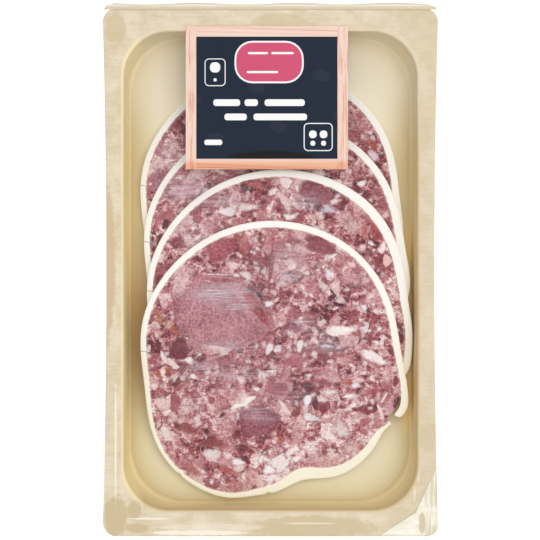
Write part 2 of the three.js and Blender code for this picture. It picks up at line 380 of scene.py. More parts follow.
# Patches of the rim where the seal shows darker: middle, half sizes and strength.
DARK_SEAL = [((-73.5, 0.5), (4.2, 36.0), 0.9), ((-69.5, -110.5), (5.8, 9.4), 1.0),
             ((-61.0, -107.8), (3.3, 4.6), 1.0), ((-59.5, -115.8), (5.4, 2.3), 1.0),
             ((-69.6, 108.0), (5.0, 7.4), 0.6), ((18.8, -115.4), (29.0, 5.2), 0.8),
             ((71.0, -75.5), (5.4, 6.5), 0.6), ((4.0, 111.6), (14.0, 3.4), 0.6)]
# Slivers of painted highlight, where creases of the film over the seal catch the light: the same.
PAINTED_SEAL_HIGHLIGHTS = [((-69.4, -79.0), (0.5, 27.0), 0.8), ((-54.4, -111.7), (9.6, 0.45), 0.8),
               ((17.0, -113.8), (13.0, 0.45), 0.5), ((-32.5, -118.0), (23.0, 1.1), 0.9),
               ((66.2, -90.0), (0.7, 6.0), 0.9), ((64.6, -100.0), (0.5, 4.0), 0.5),
               ((-26.0, -115.6), (26.0, 1.6), 0.35), ((-74.6, -82.0), (0.5, 32.0), 0.5)]


def tray_surface(recipe):
    place = recipe.millimetres()
    axes = [recipe.add("SeparateXYZ", {0: place}, output=axis) for axis in range(3)]
    inward = recipe.named("inward")
    # The ramp gives the beige with painted shade and a painted lighter band on the wall.
    first, last = HOLLOW_TONES_AND_SHADE[0][0], HOLLOW_TONES_AND_SHADE[-1][0]
    share = recipe.math("DIVIDE", recipe.math("SUBTRACT", inward, first), last - first)
    hollow = recipe.ramp(share, [((at - first) / (last - first), linear(*color))
                                 for at, color in HOLLOW_TONES_AND_SHADE])
    # Painted light: towards the far end of the hollow, behind the slices, the floor is lighter.
    hollow = recipe.mix(recipe.step(axes[1], 45.0, 85.0, 0.0, 0.4), hollow,
                        linear(250, 241, 220))
    # Between the slices and the long walls the hollow is in their shade.
    beside = recipe.math("MULTIPLY", recipe.step(recipe.math("ABSOLUTE", axes[0]), 46.0, 58.0),
                         recipe.step(recipe.math("ABSOLUTE", recipe.math("ADD", axes[1], 28.0)),
                                     4.0, 50.0, 0.92, 0.0))
    # The shade lies on the floor more than on the wall.
    off_wall = recipe.step(inward, 1.2, 3.0, 0.25, 1.0)
    beside = recipe.math("MULTIPLY", beside, off_wall)
    hollow = recipe.mix(beside, hollow, linear(184, 140, 66))
    lower_shade = recipe.math("MULTIPLY", recipe.step(recipe.math("ABSOLUTE", axes[0]), 50.0, 60.0),
                              recipe.step(recipe.math("ABSOLUTE", recipe.math("SUBTRACT", axes[1],
                                                                              15.0)),
                                          30.0, 80.0, 0.3, 0.0))
    lower_shade = recipe.math("MULTIPLY", lower_shade, off_wall)
    hollow = recipe.mix(lower_shade, hollow, linear(196, 166, 104))
    # Painted light: the left wall is lighter in colour, where the light from the right falls on it.
    painted_left_wall_light = recipe.math("MULTIPLY", recipe.step(inward, 1.2, 2.6, 0.7, 0.0),
                            recipe.step(axes[0], -62.0, -55.0, 1.0, 0.0))
    hollow = recipe.mix(painted_left_wall_light, hollow, linear(255, 238, 184))

    # Painted light: the narrow gap on the right is lighter in colour, for the light that reaches it
    # through the clear film.
    gap = recipe.math("MULTIPLY", recipe.step(axes[0], 58.0, 61.0),
                      recipe.step(recipe.math("ABSOLUTE", recipe.math("ADD", axes[1], 26.0)),
                                  30.0, 55.0, 0.8, 0.0))
    gap = recipe.math("MULTIPLY", gap, recipe.step(inward, 0.4, 1.6))
    hollow = recipe.mix(gap, hollow, linear(255, 216, 130))

    clouds = recipe.noise(place, 0.09, 4.0, 0.7)
    weave = recipe.noise(recipe.scale(place, (0.09, 1.1, 1.0)), 1.0, 3.0, 0.6)
    milky = recipe.step(recipe.math("ADD", clouds, recipe.math("MULTIPLY", weave, 0.4)), 0.5, 0.9)
    rim_tone = recipe.mix(milky, linear(216, 200, 166), linear(233, 221, 195))
    rim_tone = recipe.mix(recipe.step(axes[0], 50.0, 70.0, 0.0, 0.3), rim_tone,
                          linear(214, 198, 164))
    waver = recipe.math("MULTIPLY", recipe.math("SUBTRACT", recipe.noise(place, 0.3, 4.0, 0.6),
                                                0.5), 0.9)
    for middle, halves, strength in DARK_SEAL:
        mask = recipe.math("MULTIPLY", recipe.spot(place, middle, halves, waver), strength)
        rim_tone = recipe.mix(mask, rim_tone, linear(209, 190, 150))
    # Painted highlights: thin bright slivers on the rim.
    for middle, halves, strength in PAINTED_SEAL_HIGHLIGHTS:
        mask = recipe.math("MULTIPLY", recipe.spot(place, middle, halves, waver), strength)
        rim_tone = recipe.mix(mask, rim_tone, linear(252, 245, 228))
    on_rim = recipe.step(inward, -1.7, -0.6, 1.0, 0.0)
    tone = recipe.mix(on_rim, hollow, rim_tone)
    made = use_group(recipe, flecks, {"Place": place, "Color": tone})
    return {
        "Base Color": made["Color"],
        "Roughness": recipe.math("ADD", 0.4, recipe.math("MULTIPLY", weave, 0.15)),
        "Normal": recipe.bump(made["Height"], 0.12, 0.0001),
    }


def tray_back_surface(recipe):
    """The outside of the sheet, which no slice shades and no film covers."""
    place = recipe.millimetres()
    cloud = recipe.step(recipe.noise(place, 0.12, 3.0, 0.6), 0.35, 0.65)
    tone = recipe.mix(cloud, linear(216, 197, 168), linear(222, 204, 176))
    made = use_group(recipe, flecks, {"Place": place, "Color": tone})
    return {
        "Base Color": made["Color"],
        "Roughness": recipe.math("ADD", 0.42, recipe.math("MULTIPLY", cloud, 0.1)),
        "Normal": recipe.bump(made["Height"], 0.12, 0.0001),
    }


tray_material = new_material("beige tray plastic", tray_surface, Specular_IOR_Level=0.3)
tray_back = new_material("beige tray outside", tray_back_surface, Specular_IOR_Level=0.3)

# %% [markdown]
# ## The tray
#
# A thermoformed tray is one sheet that was sucked into a mould, so every fold in it is round.
# It could be cut from a block, but then the wall would have no thickness of its own. Here one
# ring of points is extruded through a list of level outlines, from the middle of the floor out
# to the rim, and a Solidify modifier then gives the sheet its thickness.

# %% Tray rings
CORNER_POINTS = 22
LONG_POINTS = 26
SHORT_POINTS = 16


def rounded_ring(half_width, half_length, corner, middle_y=0.0, bow=0.0):
    """Points of a rounded rectangle, anticlockwise. The long sides may bow inwards."""
    points = []
    flat_x, flat_y = half_width - corner, half_length - corner
    signs = [(1, -1), (1, 1), (-1, 1), (-1, -1)]
    for side in range(4):
        upright = side % 2 == 0
        count = LONG_POINTS if upright else SHORT_POINTS
        direction = 1 if side < 2 else -1
        half = flat_y if upright else flat_x
        for step in range(count):
            along = half * (2 * step / count - 1)
            if upright:
                inward = bow * (1 - (along / half) ** 2)
                points.append((direction * (half_width - inward), middle_y + direction * along))
            else:
                points.append((-direction * along, middle_y + direction * half_length))
        sign_x, sign_y = signs[(side + 1) % 4]
        for step in range(CORNER_POINTS):
            angle = math.radians(90 * (side + step / CORNER_POINTS))
            points.append((sign_x * flat_x + corner * math.cos(angle),
                           middle_y + sign_y * flat_y + corner * math.sin(angle)))
    return points


def extrude_rings(bm, rings):
    """Extrudes a loop through rings of (points, height, how far inwards) and caps the first."""
    layer = bm.verts.layers.float.new("inward")
    first_points, first_height, first_inward = rings[0]
    made = bmesh.ops.create_circle(bm, cap_ends=False, segments=len(first_points), radius=1.0)
    loop = made["verts"]
    loop.sort(key=lambda vert: math.atan2(vert.co.y, vert.co.x) % (2 * math.pi))
    for vert, (x, y) in zip(loop, first_points):
        vert.co = (x, y, first_height)
        vert[layer] = first_inward
    bmesh.ops.contextual_create(bm, geom=loop)
    for points, height, inward in rings[1:]:
        edges = [edge for edge in bm.edges if edge.is_boundary]
        order = {tuple(vert.co): place for place, vert in enumerate(loop)}
        made = bmesh.ops.extrude_edge_only(bm, edges=edges)
        new = [item for item in made["geom"] if isinstance(item, bmesh.types.BMVert)]
        new.sort(key=lambda vert: order[tuple(vert.co)])
        for vert, (x, y) in zip(new, points):
            vert.co = (x, y, height)
            vert[layer] = inward
        loop = new


# %% Tray piece
def tray_rings():
    """Level outlines from the floor's middle to the edge of the rim."""
    top = TRAY_HIGH[2] + 0.15
    rim_middle = (TRAY_LOW[1] + TRAY_HIGH[1]) / 2
    half_width, half_length = HOLLOW_WIDTH / 2, HOLLOW_LENGTH / 2

    def hollow(inset, corner):
        return rounded_ring(half_width - inset, half_length - inset, corner, HOLLOW_Y)

    rings = [(hollow(inset, max(10.0, FLOOR_CORNER - 0.35 * inset)), SHEET, inset)
             for inset in (48.0, 36.0, 28.0, 22.0, 17.0, 13.0, 10.0, 7.5, 5.5, 4.2)]
    # The foot is a quarter circle between the floor and the wall.
    foot = 1.8
    wall_foot_inset = 1.4
    for step in range(7):
        angle = math.radians(90 * step / 6)
        inset = wall_foot_inset + foot * (1 - math.sin(angle)) * 0.75
        corner = FLOOR_CORNER - 1.2 * math.sin(angle)
        rings.append((hollow(inset, corner), SHEET + foot * (1 - math.cos(angle)), inset))
    # The wall leans out, and its corners open as it rises.
    lip = 1.1
    for step in range(1, 9):
        share = step / 8
        inset = wall_foot_inset * (1 - share)
        corner = FLOOR_CORNER - 1.2 + (HOLLOW_CORNER - FLOOR_CORNER + 1.2) * share
        height = SHEET + foot + (top - lip - SHEET - foot) * share
        rings.append((hollow(inset, corner), height, inset))
    # The lip rolls over onto the rim.
    for step in range(1, 6):
        angle = math.radians(90 * step / 5)
        outset = lip * (1 - math.cos(angle))
        rings.append((hollow(-outset, HOLLOW_CORNER), top - lip * (1 - math.sin(angle)), -outset))
    # The rim widens to its own outline, which keeps a narrow bead at the edge.
    inner = hollow(-lip, HOLLOW_CORNER)
    outer = rounded_ring((TRAY_HIGH[0] - TRAY_LOW[0]) / 2, (TRAY_HIGH[1] - TRAY_LOW[1]) / 2,
                         RIM_CORNER, rim_middle, WAIST_BOW)
    for share, drop in ((0.1, 0.0), (0.2, 0.0), (0.5, 0.0), (0.8, 0.0), (0.95, 0.02), (1.0, 0.12)):
        points = [(a[0] + (b[0] - a[0]) * share, a[1] + (b[1] - a[1]) * share)
                  for a, b in zip(inner, outer)]
        rings.append((points, top - drop, -lip - 8.0 * share))
    return rings


tray_bm = bmesh.new()
extrude_rings(tray_bm, tray_rings())
bmesh.ops.recalc_face_normals(tray_bm, faces=tray_bm.faces)
if max(tray_bm.faces, key=lambda face: face.calc_area()).normal.z < 0:
    bmesh.ops.reverse_faces(tray_bm, faces=tray_bm.faces)
tray_piece = to_piece(tray_bm, "tray_shell", tray_material, ["tray"])
tray_sheet = tray_piece.modifiers.new("sheet", "SOLIDIFY")
tray_sheet.thickness = SHEET * MM
tray_sheet.offset = -1.0
# The new faces of the sheet take the next material in the piece's list.
tray_piece.data.materials.append(tray_back)
tray_sheet.material_offset = 1

# %% [markdown]
# ## The form of a slice
#
# All four slices were cut from one log, so they share a rim that bulges and dips at the same
# angles. A slice is soft: it lies flat on the slices below and droops past their rims to the
# floor. Both facts are functions here, and everything that lies on a slice asks them for its
# height, so that nothing floats or sinks. They work on whole arrays of points at once, which
# keeps a mesh of tens of thousands of points quick.

# %% Rim and drape
def bulges(angles, entries):
    """The sum of smooth bulges at the given angles, in degrees."""
    total = np.zeros_like(angles)
    for middle, wide, out in entries:
        away = (angles - middle + 180) % 360 - 180
        total += out * np.exp(-0.5 * (away / wide) ** 2)
    return total


def between(value, low, high):
    """0 below low, 1 above high and smooth between them."""
    share = np.clip((value - low) / (high - low), 0, 1)
    return share * share * (3 - 2 * share)


def rim_radius(one, angles):
    """Radius of the rim of a slice without the small nicks."""
    own = bulges(angles, one["own"])
    return (SLICE_RADIUS + bulges(angles, RIM_BULGES)) * one["scale"] + own


def meat_radius(one, angles):
    """Radius where a slice ends. The front slice steps in where its rind has come off."""
    radius = rim_radius(one, angles)
    if one is not FRONT:
        return radius
    radius = radius + bulges(angles, RIM_NICKS)
    bare = between(angles, BARE_FROM - 1, BARE_FROM) * (1 - between(angles, BARE_TO, BARE_TO + 1))
    low, high = BARE_RADII
    return radius + bare * (low + (high - low) * between(angles, BARE_FROM, 341.0) - radius)


def rind_width(one, angles):
    width = RIND_WIDTH + bulges(angles, RIND_BULGES) + bulges(angles, one["rind"])
    if one is FRONT:
        bare = between(angles, BARE_FROM - 1, BARE_FROM) * (
            1 - between(angles, BARE_TO, BARE_TO + 1))
        width = width * (1 - bare) - bare
    return width


def polar(one, x, y):
    """Angle in degrees and distance of points from the middle of a slice."""
    return np.degrees(np.arctan2(y - one["y"], x - one["x"])) % 360, np.hypot(
        x - one["x"], y - one["y"])


def underside(index, x, y):
    """Height of the underside of a slice that drapes over the ones below it."""
    height = np.full_like(x, SHEET + LAYER_GAP)
    for lower in SLICES[:index]:
        angles, distance = polar(lower, x, y)
        beyond = distance - rim_radius(lower, angles)
        height += (SLICE_THICKNESS + LAYER_GAP) * (
            1 - between(beyond, OVERHANG, OVERHANG + DROOP_LENGTH))
    return height


# %% [markdown]
# The cut face isn't a plane. The knife leaves low hills over the firm pieces and small pits
# where jelly has pulled out. Slow waves of several sizes make the hills, and a few pits are
# listed where the slice has dark gaps.

# %% Relief of the cut face
# Each wave: length in millimetres, height in millimetres, direction in degrees.
WAVES = [(11.0, 0.10, 20), (7.3, 0.08, 75), (5.1, 0.06, 140), (3.7, 0.05, 100),
         (2.9, 0.045, 10), (2.3, 0.04, 55), (1.9, 0.035, 165)]
# Each pit in the front slice: place, size and depth.
PITS = [(-4.6, -11.0, 1.0, 0.7), (-3.3, -12.8, 0.9, 0.6), (26.5, -13.0, 2.6, 0.9),
        (31.0, -11.5, 2.0, 0.6), (27.0, -8.6, 1.6, 0.6), (19.4, -60.5, 1.2, 0.8),
        (16.0, -64.5, 1.6, 0.6), (-8.0, -45.5, 1.5, 0.6), (4.5, -41.8, 1.5, 0.6),
        (-43.0, 1.6, 1.4, 0.5), (-28.0, 2.2, 1.8, 0.5)]


def relief(one, x, y):
    """Height of the hills and pits in the cut face of a slice."""
    height = np.zeros_like(x)
    for number, (length, tall, turn) in enumerate(WAVES):
        angle = math.radians(turn + 31 * one["index"])
        along = x * math.cos(angle) + y * math.sin(angle)
        across = y * math.cos(angle) - x * math.sin(angle)
        bend = 1.6 * np.sin(across * 2 * math.pi / (1.7 * length) + number)
        height += tall * np.sin(along * 2 * math.pi / length + bend + 2 * number)
    if one is FRONT:
        for pit_x, pit_y, size, depth in PITS:
            height -= depth * np.exp(-((x - pit_x) ** 2 + (y - pit_y) ** 2) / size ** 2)
    return height


def face_height(one, x, y):
    """Height of the cut face of a slice."""
    return underside(one["index"], x, y) + SLICE_THICKNESS + relief(one, x, y)


def hold_inside(one, x, y):
    """Points moved inwards where they would lie on the rind."""
    angles, distance = polar(one, x, y)
    limit = meat_radius(one, angles) - np.maximum(rind_width(one, angles), 0.3) - 0.1
    share = np.minimum(1.0, limit / np.maximum(distance, 1e-6))
    return one["x"] + (x - one["x"]) * share, one["y"] + (y - one["y"]) * share


# %% [markdown]
# ## The cut mosaic
#
# Snout terrine is a mosaic: lean red meat, pale pink and grey-white fat and gristle, in bits of
# every size, set in jelly. No single pattern has that look. The group below mixes three sizes
# of cells with warped edges, tints each cell by its own random number, draws fibres along a
# direction of the cell's own and darkens the joints. It reads the place on the object in
# millimetres, so the bits keep their true size on every slice.

# %% Mosaic group
MEAT_TONES = [(0.0, (82, 26, 29)), (0.14, (116, 42, 48)), (0.28, (146, 68, 75)),
              (0.40, (170, 96, 102)), (0.5, (186, 121, 125)), (0.6, (201, 146, 147)),
              (0.72, (218, 176, 174)), (0.86, (235, 206, 203)), (1.0, (248, 235, 231))]
meat_stops = [(place, linear(*color)) for place, color in MEAT_TONES]


def build_mosaic(recipe, given):
    place = given["Place"]

    def weigh(value, weight, middle=0.5):
        return recipe.math("MULTIPLY", recipe.math("SUBTRACT", value, middle), weight)

    def total(*parts):
        result = parts[0]
        for part in parts[1:]:
            result = recipe.math("ADD", result, part)
        return result

    slow_warp = recipe.noise(place, 0.17, 2.0, output="Color")
    fast_warp = recipe.noise(place, 0.7, 4.0, 0.65, output="Color")
    warped = recipe.plus(place, recipe.scale(slow_warp, (6.0, 6.0, 6.0)))
    warped = recipe.plus(warped, recipe.scale(fast_warp, (2.6, 2.6, 2.6)))
    large = recipe.channels(recipe.cells(warped, 0.15, soft=0.2))
    middle = recipe.channels(recipe.cells(warped, 0.36, soft=0.4))
    turns = recipe.channels(recipe.cells(warped, 0.15))
    patches = recipe.noise(place, 0.07, 2.0)
    clots = recipe.noise(place, 0.36, 6.0, 0.66, swirl=1.2)

    # Some of the large cells are whole bits of one meat, the others are fine mince.
    whole = recipe.step(large[2], 0.46, 0.62)
    turned = recipe.add("VectorRotate", {"Vector": place,
                                         "Angle": recipe.math("MULTIPLY", turns[1], 6.28)},
                        rotation_type="Z_AXIS")
    fibre = recipe.noise(recipe.scale(turned, (0.30, 2.2, 1.0)), 1.0, 4.0, 0.65)
    grain = recipe.noise(place, 1.5, 3.0, 0.75)
    streak = recipe.noise(recipe.scale(place, (0.25, 2.1, 1.0)), 1.0, 3.0, 0.6)
    whole_tone = total(0.43, weigh(large[0], 0.72), weigh(fibre, 0.65), weigh(clots, 0.6),
                       weigh(grain, 0.4), weigh(streak, 0.45))
    mince_tone = total(0.46, weigh(middle[0], 0.56), weigh(large[0], 0.3), weigh(clots, 2.2),
                       weigh(grain, 0.8), weigh(streak, 0.6))
    tone = recipe.mix(whole, mince_tone, whole_tone)
    tone = recipe.channels(tone)[0]
    tone = total(tone, weigh(patches, 0.5), given["Paleness"])
    color = recipe.ramp(tone, meat_stops)

    # Fat joints show pale round some whole bits, and dark crevices between the others.
    edge = recipe.cells(warped, 0.36, output="Distance", feature="DISTANCE_TO_EDGE")
    in_joint = recipe.step(edge, 0.0, 0.13, 1.0, 0.0)
    chance = recipe.noise(place, 0.28)
    dark = recipe.math("MULTIPLY", in_joint, recipe.step(chance, 0.5, 0.6))
    pale = recipe.math("MULTIPLY", in_joint, recipe.step(chance, 0.36, 0.46, 1.0, 0.0))
    color = recipe.mix(recipe.math("MULTIPLY", dark, 0.5), color, linear(116, 40, 46))
    color = recipe.mix(recipe.math("MULTIPLY", pale, 0.4), color, linear(238, 214, 211))

    # Bits of fat are pale and round, with a soft edge.
    fat_place = recipe.plus(warped, (13.0, 5.0, 0.0))
    fat_way = recipe.cells(fat_place, 0.27, output="Distance")
    fat_size = recipe.channels(recipe.cells(fat_place, 0.27))
    fat_reach = recipe.step(fat_size[0], 0.45, 1.0, 0.02, 0.46)
    fat = recipe.step(recipe.math("SUBTRACT", fat_way, fat_reach), -0.3, 0.06, 1.0, 0.0)
    fat_tone = recipe.mix(fat_size[1], linear(250, 236, 233), linear(226, 198, 200))
    color = recipe.mix(recipe.math("MULTIPLY", fat, 0.72), color, fat_tone)

    # Cured spots are rusty, jelly is greyish, and tiny gaps are almost black.
    rusty = recipe.step(recipe.noise(place, 0.33, 4.0), 0.58, 0.70)
    color = recipe.mix(recipe.math("MULTIPLY", rusty, 0.5), color, linear(176, 88, 70))
    jelly = recipe.step(recipe.noise(recipe.plus(place, (31.0, 3.0, 8.0)), 0.3, 4.0), 0.6, 0.72)
    color = recipe.mix(recipe.math("MULTIPLY", jelly, 0.4), color, linear(196, 172, 178))
    gap_chance = recipe.step(recipe.noise(place, 0.11, 1.0), 0.4, 0.62)
    gap = recipe.math("MULTIPLY", recipe.step(recipe.noise(place, 1.0, 3.0, 0.6), 0.60, 0.74),
                      gap_chance)
    color = recipe.mix(recipe.math("MULTIPLY", gap, 0.75), color, linear(66, 22, 26))
    # Tiny pale specks are painted glints of the wet cut face.
    painted_glint = recipe.step(recipe.noise(recipe.plus(place, (5.0, 9.0, 2.0)), 0.8, 4.0, 0.7),
                        0.58, 0.76)
    color = recipe.mix(recipe.math("MULTIPLY", painted_glint, 0.65), color, linear(248, 234, 232))
    height = recipe.math("SUBTRACT", total(tone, recipe.math("MULTIPLY", fibre, 0.6), fat),
                         recipe.math("ADD", dark, gap))
    return {"Color": color, "Height": height, "Fibre": fibre}


mosaic = new_group("cut mosaic", {"Place": "Vector", "Paleness": "Float"},
                   {"Color": "Color", "Height": "Float", "Fibre": "Float"}, build_mosaic)

# %% [markdown]
# ## Terrine with its rind
#
# The rind is a smooth cream band round the cut face. Its mesh carries three numbers for each
# point: how far it is inside the rind's inner edge, how far round it is from the seam of the
# log's wrapping, and how pale the meat is there. The material draws the band with a crisp but
# wavering edge, and the seam as one thin dark tick across it.

# %% Terrine material
def terrine_surface(recipe):
    place = recipe.millimetres()
    made = use_group(recipe, mosaic, {"Place": place, "Paleness": recipe.named("paleness")})
    waver = recipe.math("MULTIPLY", recipe.math("SUBTRACT", recipe.noise(place, 0.45), 0.5), 0.9)
    inside = recipe.math("ADD", recipe.named("inside_rind"), waver)
    rind = recipe.step(inside, -0.12, 0.2, 1.0, 0.0)
    edge_fat = recipe.step(inside, 0.1, 1.2, 0.35, 0.0)
    tick = recipe.step(recipe.math("ABSOLUTE", recipe.named("from_seam")), 0.05, 0.28, 1.0, 0.0)
    upper = recipe.step(recipe.add("SeparateXYZ", {0: place}, output=1), -70.0, 0.0)
    cream = recipe.mix(upper, linear(254, 250, 228), linear(255, 254, 248))
    cream = recipe.mix(recipe.math("MULTIPLY", recipe.noise(place, 0.25, 3.0), 0.3), cream,
                       linear(250, 242, 218))
    cream = recipe.mix(recipe.math("MULTIPLY", tick, 0.75), cream, linear(120, 92, 62))
    meat = recipe.mix(edge_fat, made["Color"], linear(238, 205, 190))
    color = recipe.mix(rind, meat, cream)
    rough = recipe.math("ADD", 0.34, recipe.math("MULTIPLY", made["Fibre"], 0.22))
    height = recipe.mix(rind, made["Height"], (0.9, 0.9, 0.9, 1.0))
    return {"Base Color": color, "Roughness": rough,
            "Normal": recipe.bump(height, 0.5, 0.0002)}


terrine_material = new_material("terrine with rind", terrine_surface, Specular_IOR_Level=0.2)

# %% [markdown]
# ## A draped disc
#
# A slice is a disc of squares laid over a curved form. A polar fan would crowd its points in
# the middle, so a square grid is squeezed into a circle instead, which keeps the squares nearly
# even. The circle is stretched to the rim, draped, and its edge is extruded down the rind and
# then inwards along the underside, ring by ring, to a small cap.

# %% Disc from a grid
def squeeze_to_disc(bm, cells):
    """Adds a grid to bm, squeezed into a circle of radius 1, and returns its vertices."""
    made = bmesh.ops.create_grid(bm, x_segments=cells, y_segments=cells, size=1.0)
    for vert in made["verts"]:
        u, v = vert.co.x, vert.co.y
        vert.co.x = u * math.sqrt(1 - v * v / 2)
        vert.co.y = v * math.sqrt(1 - u * u / 2)
    return made["verts"]


def place_verts(verts, x, y, z):
    for vert, where in zip(verts, zip(x.tolist(), y.tolist(), z.tolist())):
        vert.co = where


def plan(verts):
    """The x and y of vertices as two arrays."""
    return (np.array([vert.co.x for vert in verts]), np.array([vert.co.y for vert in verts]))


def extrude_edge_down(bm, edges):
    """Extrudes edges in place and returns the new vertices and edges. The old ones stay crisp."""
    for edge in edges:
        edge.smooth = False
    made = bmesh.ops.extrude_edge_only(bm, edges=edges)
    verts = [item for item in made["geom"] if isinstance(item, bmesh.types.BMVert)]
    new_edges = [item for item in made["geom"] if isinstance(item, bmesh.types.BMEdge)]
    return verts, [edge for edge in new_edges if edge.is_boundary]


# %% [markdown]
# Regions of the front slice differ: the lower right is pale with fat, the middle is redder.
# Soft round patches carry that difference.

# %% Slice pieces
# Each patch of the front slice: place, size in millimetres and how much paler it is.
PALE_PATCHES = [(27, -76, 20, 0.12), (-40, 2, 9, 0.16), (42, -6, 12, 0.16), (1, -88, 12, 0.17),
                (-35, -66, 7, 0.08), (-26, -92, 8, 0.05), (15, -6, 8, 0.12), (8, -21, 7, 0.12),
                (-6, 15, 9, 0.12), (-47, -14, 6, 0.16), (47, -26, 8, 0.14), (-46, -62, 5, 0.1),
                (-28, -57, 6, 0.12), (34, -72, 8, 0.08), (-3, -56, 5, 0.08),
                (-12, -74, 8, -0.14), (-36, -75, 7, -0.14), (-29, -87, 7, -0.14),
                (-41, -40, 7, -0.14), (13, -52, 7, -0.16), (-7, -33, 6, -0.16),
                (4, -34, 5, -0.1), (25, -20, 6, -0.16), (38, -46, 7, -0.1),
                (54, -54, 6, -0.14), (4, -70, 5, -0.14), (-22, -3, 8, -0.06),
                (18, -84, 7, -0.05), (-47, 2, 5, 0.1), (-51, -14, 4, 0.1), (-5, 5, 5, 0.1),
                (15, -5, 5, 0.16), (3, -9, 4, 0.1), (20, -10, 4, 0.12), (9, -20, 4, 0.1),
                (33, 9, 4, 0.12), (30, 2, 4, 0.12), (46, 3, 4, 0.1), (42, -19, 4, 0.1),
                (47, -34, 4, 0.1), (-50, -57, 5, 0.16), (-50, -75, 4, 0.1), (-29, -73, 4, 0.12),
                (-25, -60, 4, 0.1), (-8, -55, 4, 0.1), (0, -80, 5, 0.1), (2, -92, 5, 0.14),
                (36, -54, 4, 0.1), (37, -72, 4, 0.08), (-11, -99, 4, 0.1), (-9, -11, 4, -0.16),
                (-4, -27, 4, -0.12), (-7, -36, 4, -0.12), (4, -37, 4, -0.1), (29, -18, 4, -0.12),
                (33, -15, 4, -0.1), (-36, -36, 4, -0.1), (-37, -46, 4, -0.1), (-18, -55, 4, -0.1),
                (9, -56, 5, -0.16), (22, -57, 4, -0.1), (-16, -72, 4, -0.1), (-27, -81, 4, -0.1),
                (12, -80, 4, -0.1), (26, -73, 4, -0.1), (28, -88, 4, -0.1), (39, -43, 4, -0.1),
                (46, -32, 4, -0.1), (42, -63, 5, 0.1), (27, -61, 4, 0.1), (18, -70, 5, 0.1),
                (33, -72, 5, 0.08), (38, -9, 4, 0.12), (-14, 13, 4, 0.14), (-41, -72, 4, 0.1),
                (-49, -66, 5, 0.1), (9, -28, 4, 0.1), (0, -95, 5, 0.12), (-40, -49, 4, -0.1),
                (-12, -60, 4, 0.08), (30, -50, 14, 0.04), (20, -5, 14, 0.03)]
# The same for the strip of the third slice that shows.
PALE_PATCHES_BEHIND = [(3, 33, 10, 0.24), (-33, 20, 6, 0.2), (-18, 27, 6, 0.14),
                       (-44, 22, 6, -0.12), (-28, 34, 6, -0.14), (27, 35, 6, -0.12),
                       (50, 12, 7, -0.14), (56, -12, 9, 0.1), (-12, 38, 5, -0.1),
                       (-17, 27, 5, 0.12), (-14, 16, 5, 0.12), (-24, 30, 4, -0.18),
                       (48, 13, 4, -0.12), (13, 13, 4, -0.12), (22, 7, 4, -0.12),
                       (-12, 32, 6, -0.12), (27, 35, 5, -0.1), (55, -5, 10, 0.08)]


def paleness(one, x, y):
    """How much paler than the mean the meat is at these points."""
    pale = np.full_like(x, -0.03)
    patches = {3: PALE_PATCHES, 2: PALE_PATCHES_BEHIND}.get(one["index"], [])
    for patch_x, patch_y, size, amount in patches:
        pale += 1.5 * amount * np.exp(-((x - patch_x) ** 2 + (y - patch_y) ** 2) / size ** 2)
    if not patches:
        pale += 0.08 * np.sin(x / 9.0 + one["index"]) * np.sin(y / 7.0 + 2 * one["index"])
    return pale


def slice_piece(one):
    bm = bmesh.new()
    verts = squeeze_to_disc(bm, one["cells"])
    x, y = plan(verts)
    share = np.hypot(x, y)
    angles = np.degrees(np.arctan2(y, x)) % 360
    radius = meat_radius(one, angles)
    px = one["x"] + x * radius
    py = one["y"] + y * radius
    inside = (1 - share) * radius - rind_width(one, angles)
    proud = 0.18 * (1 - between(inside, -0.1, 0.5)) * between((1 - share) * radius, 0.0, 0.5)
    calm = between(inside, -0.3, 1.0)
    height = (underside(one["index"], px, py) + SLICE_THICKNESS + calm * relief(one, px, py)
              + proud - 0.12 * (1 - between((1 - share) * radius, 0.0, 0.45)))
    place_verts(verts, px, py, height)

    around = ((angles - one["seam"] + 180) % 360 - 180) * math.pi / 180 * radius
    layers = {name: bm.verts.layers.float.new(name)
              for name in ("inside_rind", "from_seam", "paleness")}
    pale = paleness(one, px, py)
    values = zip(bm.verts, inside.tolist(), around.tolist(), pale.tolist())
    for vert, in_rind, seam_way, pale_here in values:
        vert[layers["inside_rind"]] = in_rind
        vert[layers["from_seam"]] = seam_way
        vert[layers["paleness"]] = pale_here

    edges = [edge for edge in bm.edges if edge.is_boundary]
    for depth in (0.35, 0.7, 1.0):
        ring, edges = extrude_edge_down(bm, edges)
        rx, ry = plan(ring)
        bottom = underside(one["index"], rx, ry)
        top = bottom + SLICE_THICKNESS
        place_verts(ring, rx, ry, top + (bottom - top) * depth)
    for inward in (0.96, 0.9, 0.8, 0.7, 0.6, 0.5, 0.4, 0.3, 0.2, 0.1):
        ring, edges = extrude_edge_down(bm, edges)
        rx, ry = plan(ring)
        turn, away = polar(one, rx, ry)
        shrink = inward * meat_radius(one, turn) / away
        rx = one["x"] + (rx - one["x"]) * shrink
        ry = one["y"] + (ry - one["y"]) * shrink
        place_verts(ring, rx, ry, underside(one["index"], rx, ry))
    bmesh.ops.contextual_create(bm, geom=edges)
    bmesh.ops.recalc_face_normals(bm, faces=bm.faces)
    return to_piece(bm, one["node"] + "_meat", terrine_material, [one["node"]])


for one in SLICES:
    slice_piece(one)

# %% [markdown]
# ## The loose end of the rind
#
# On the right of the front slice the rind has come off the meat and stands free for a short
# way. It is a strip as tall as the slice. A small grid is bent along the rim, given its
# thickness by extruding it down, and rounded at its end.

# %% Rind tail
TAIL_FROM, TAIL_TO = 352.0, 335.4
TAIL_WIDTH = 3.5
TAIL_SWING = 0.2


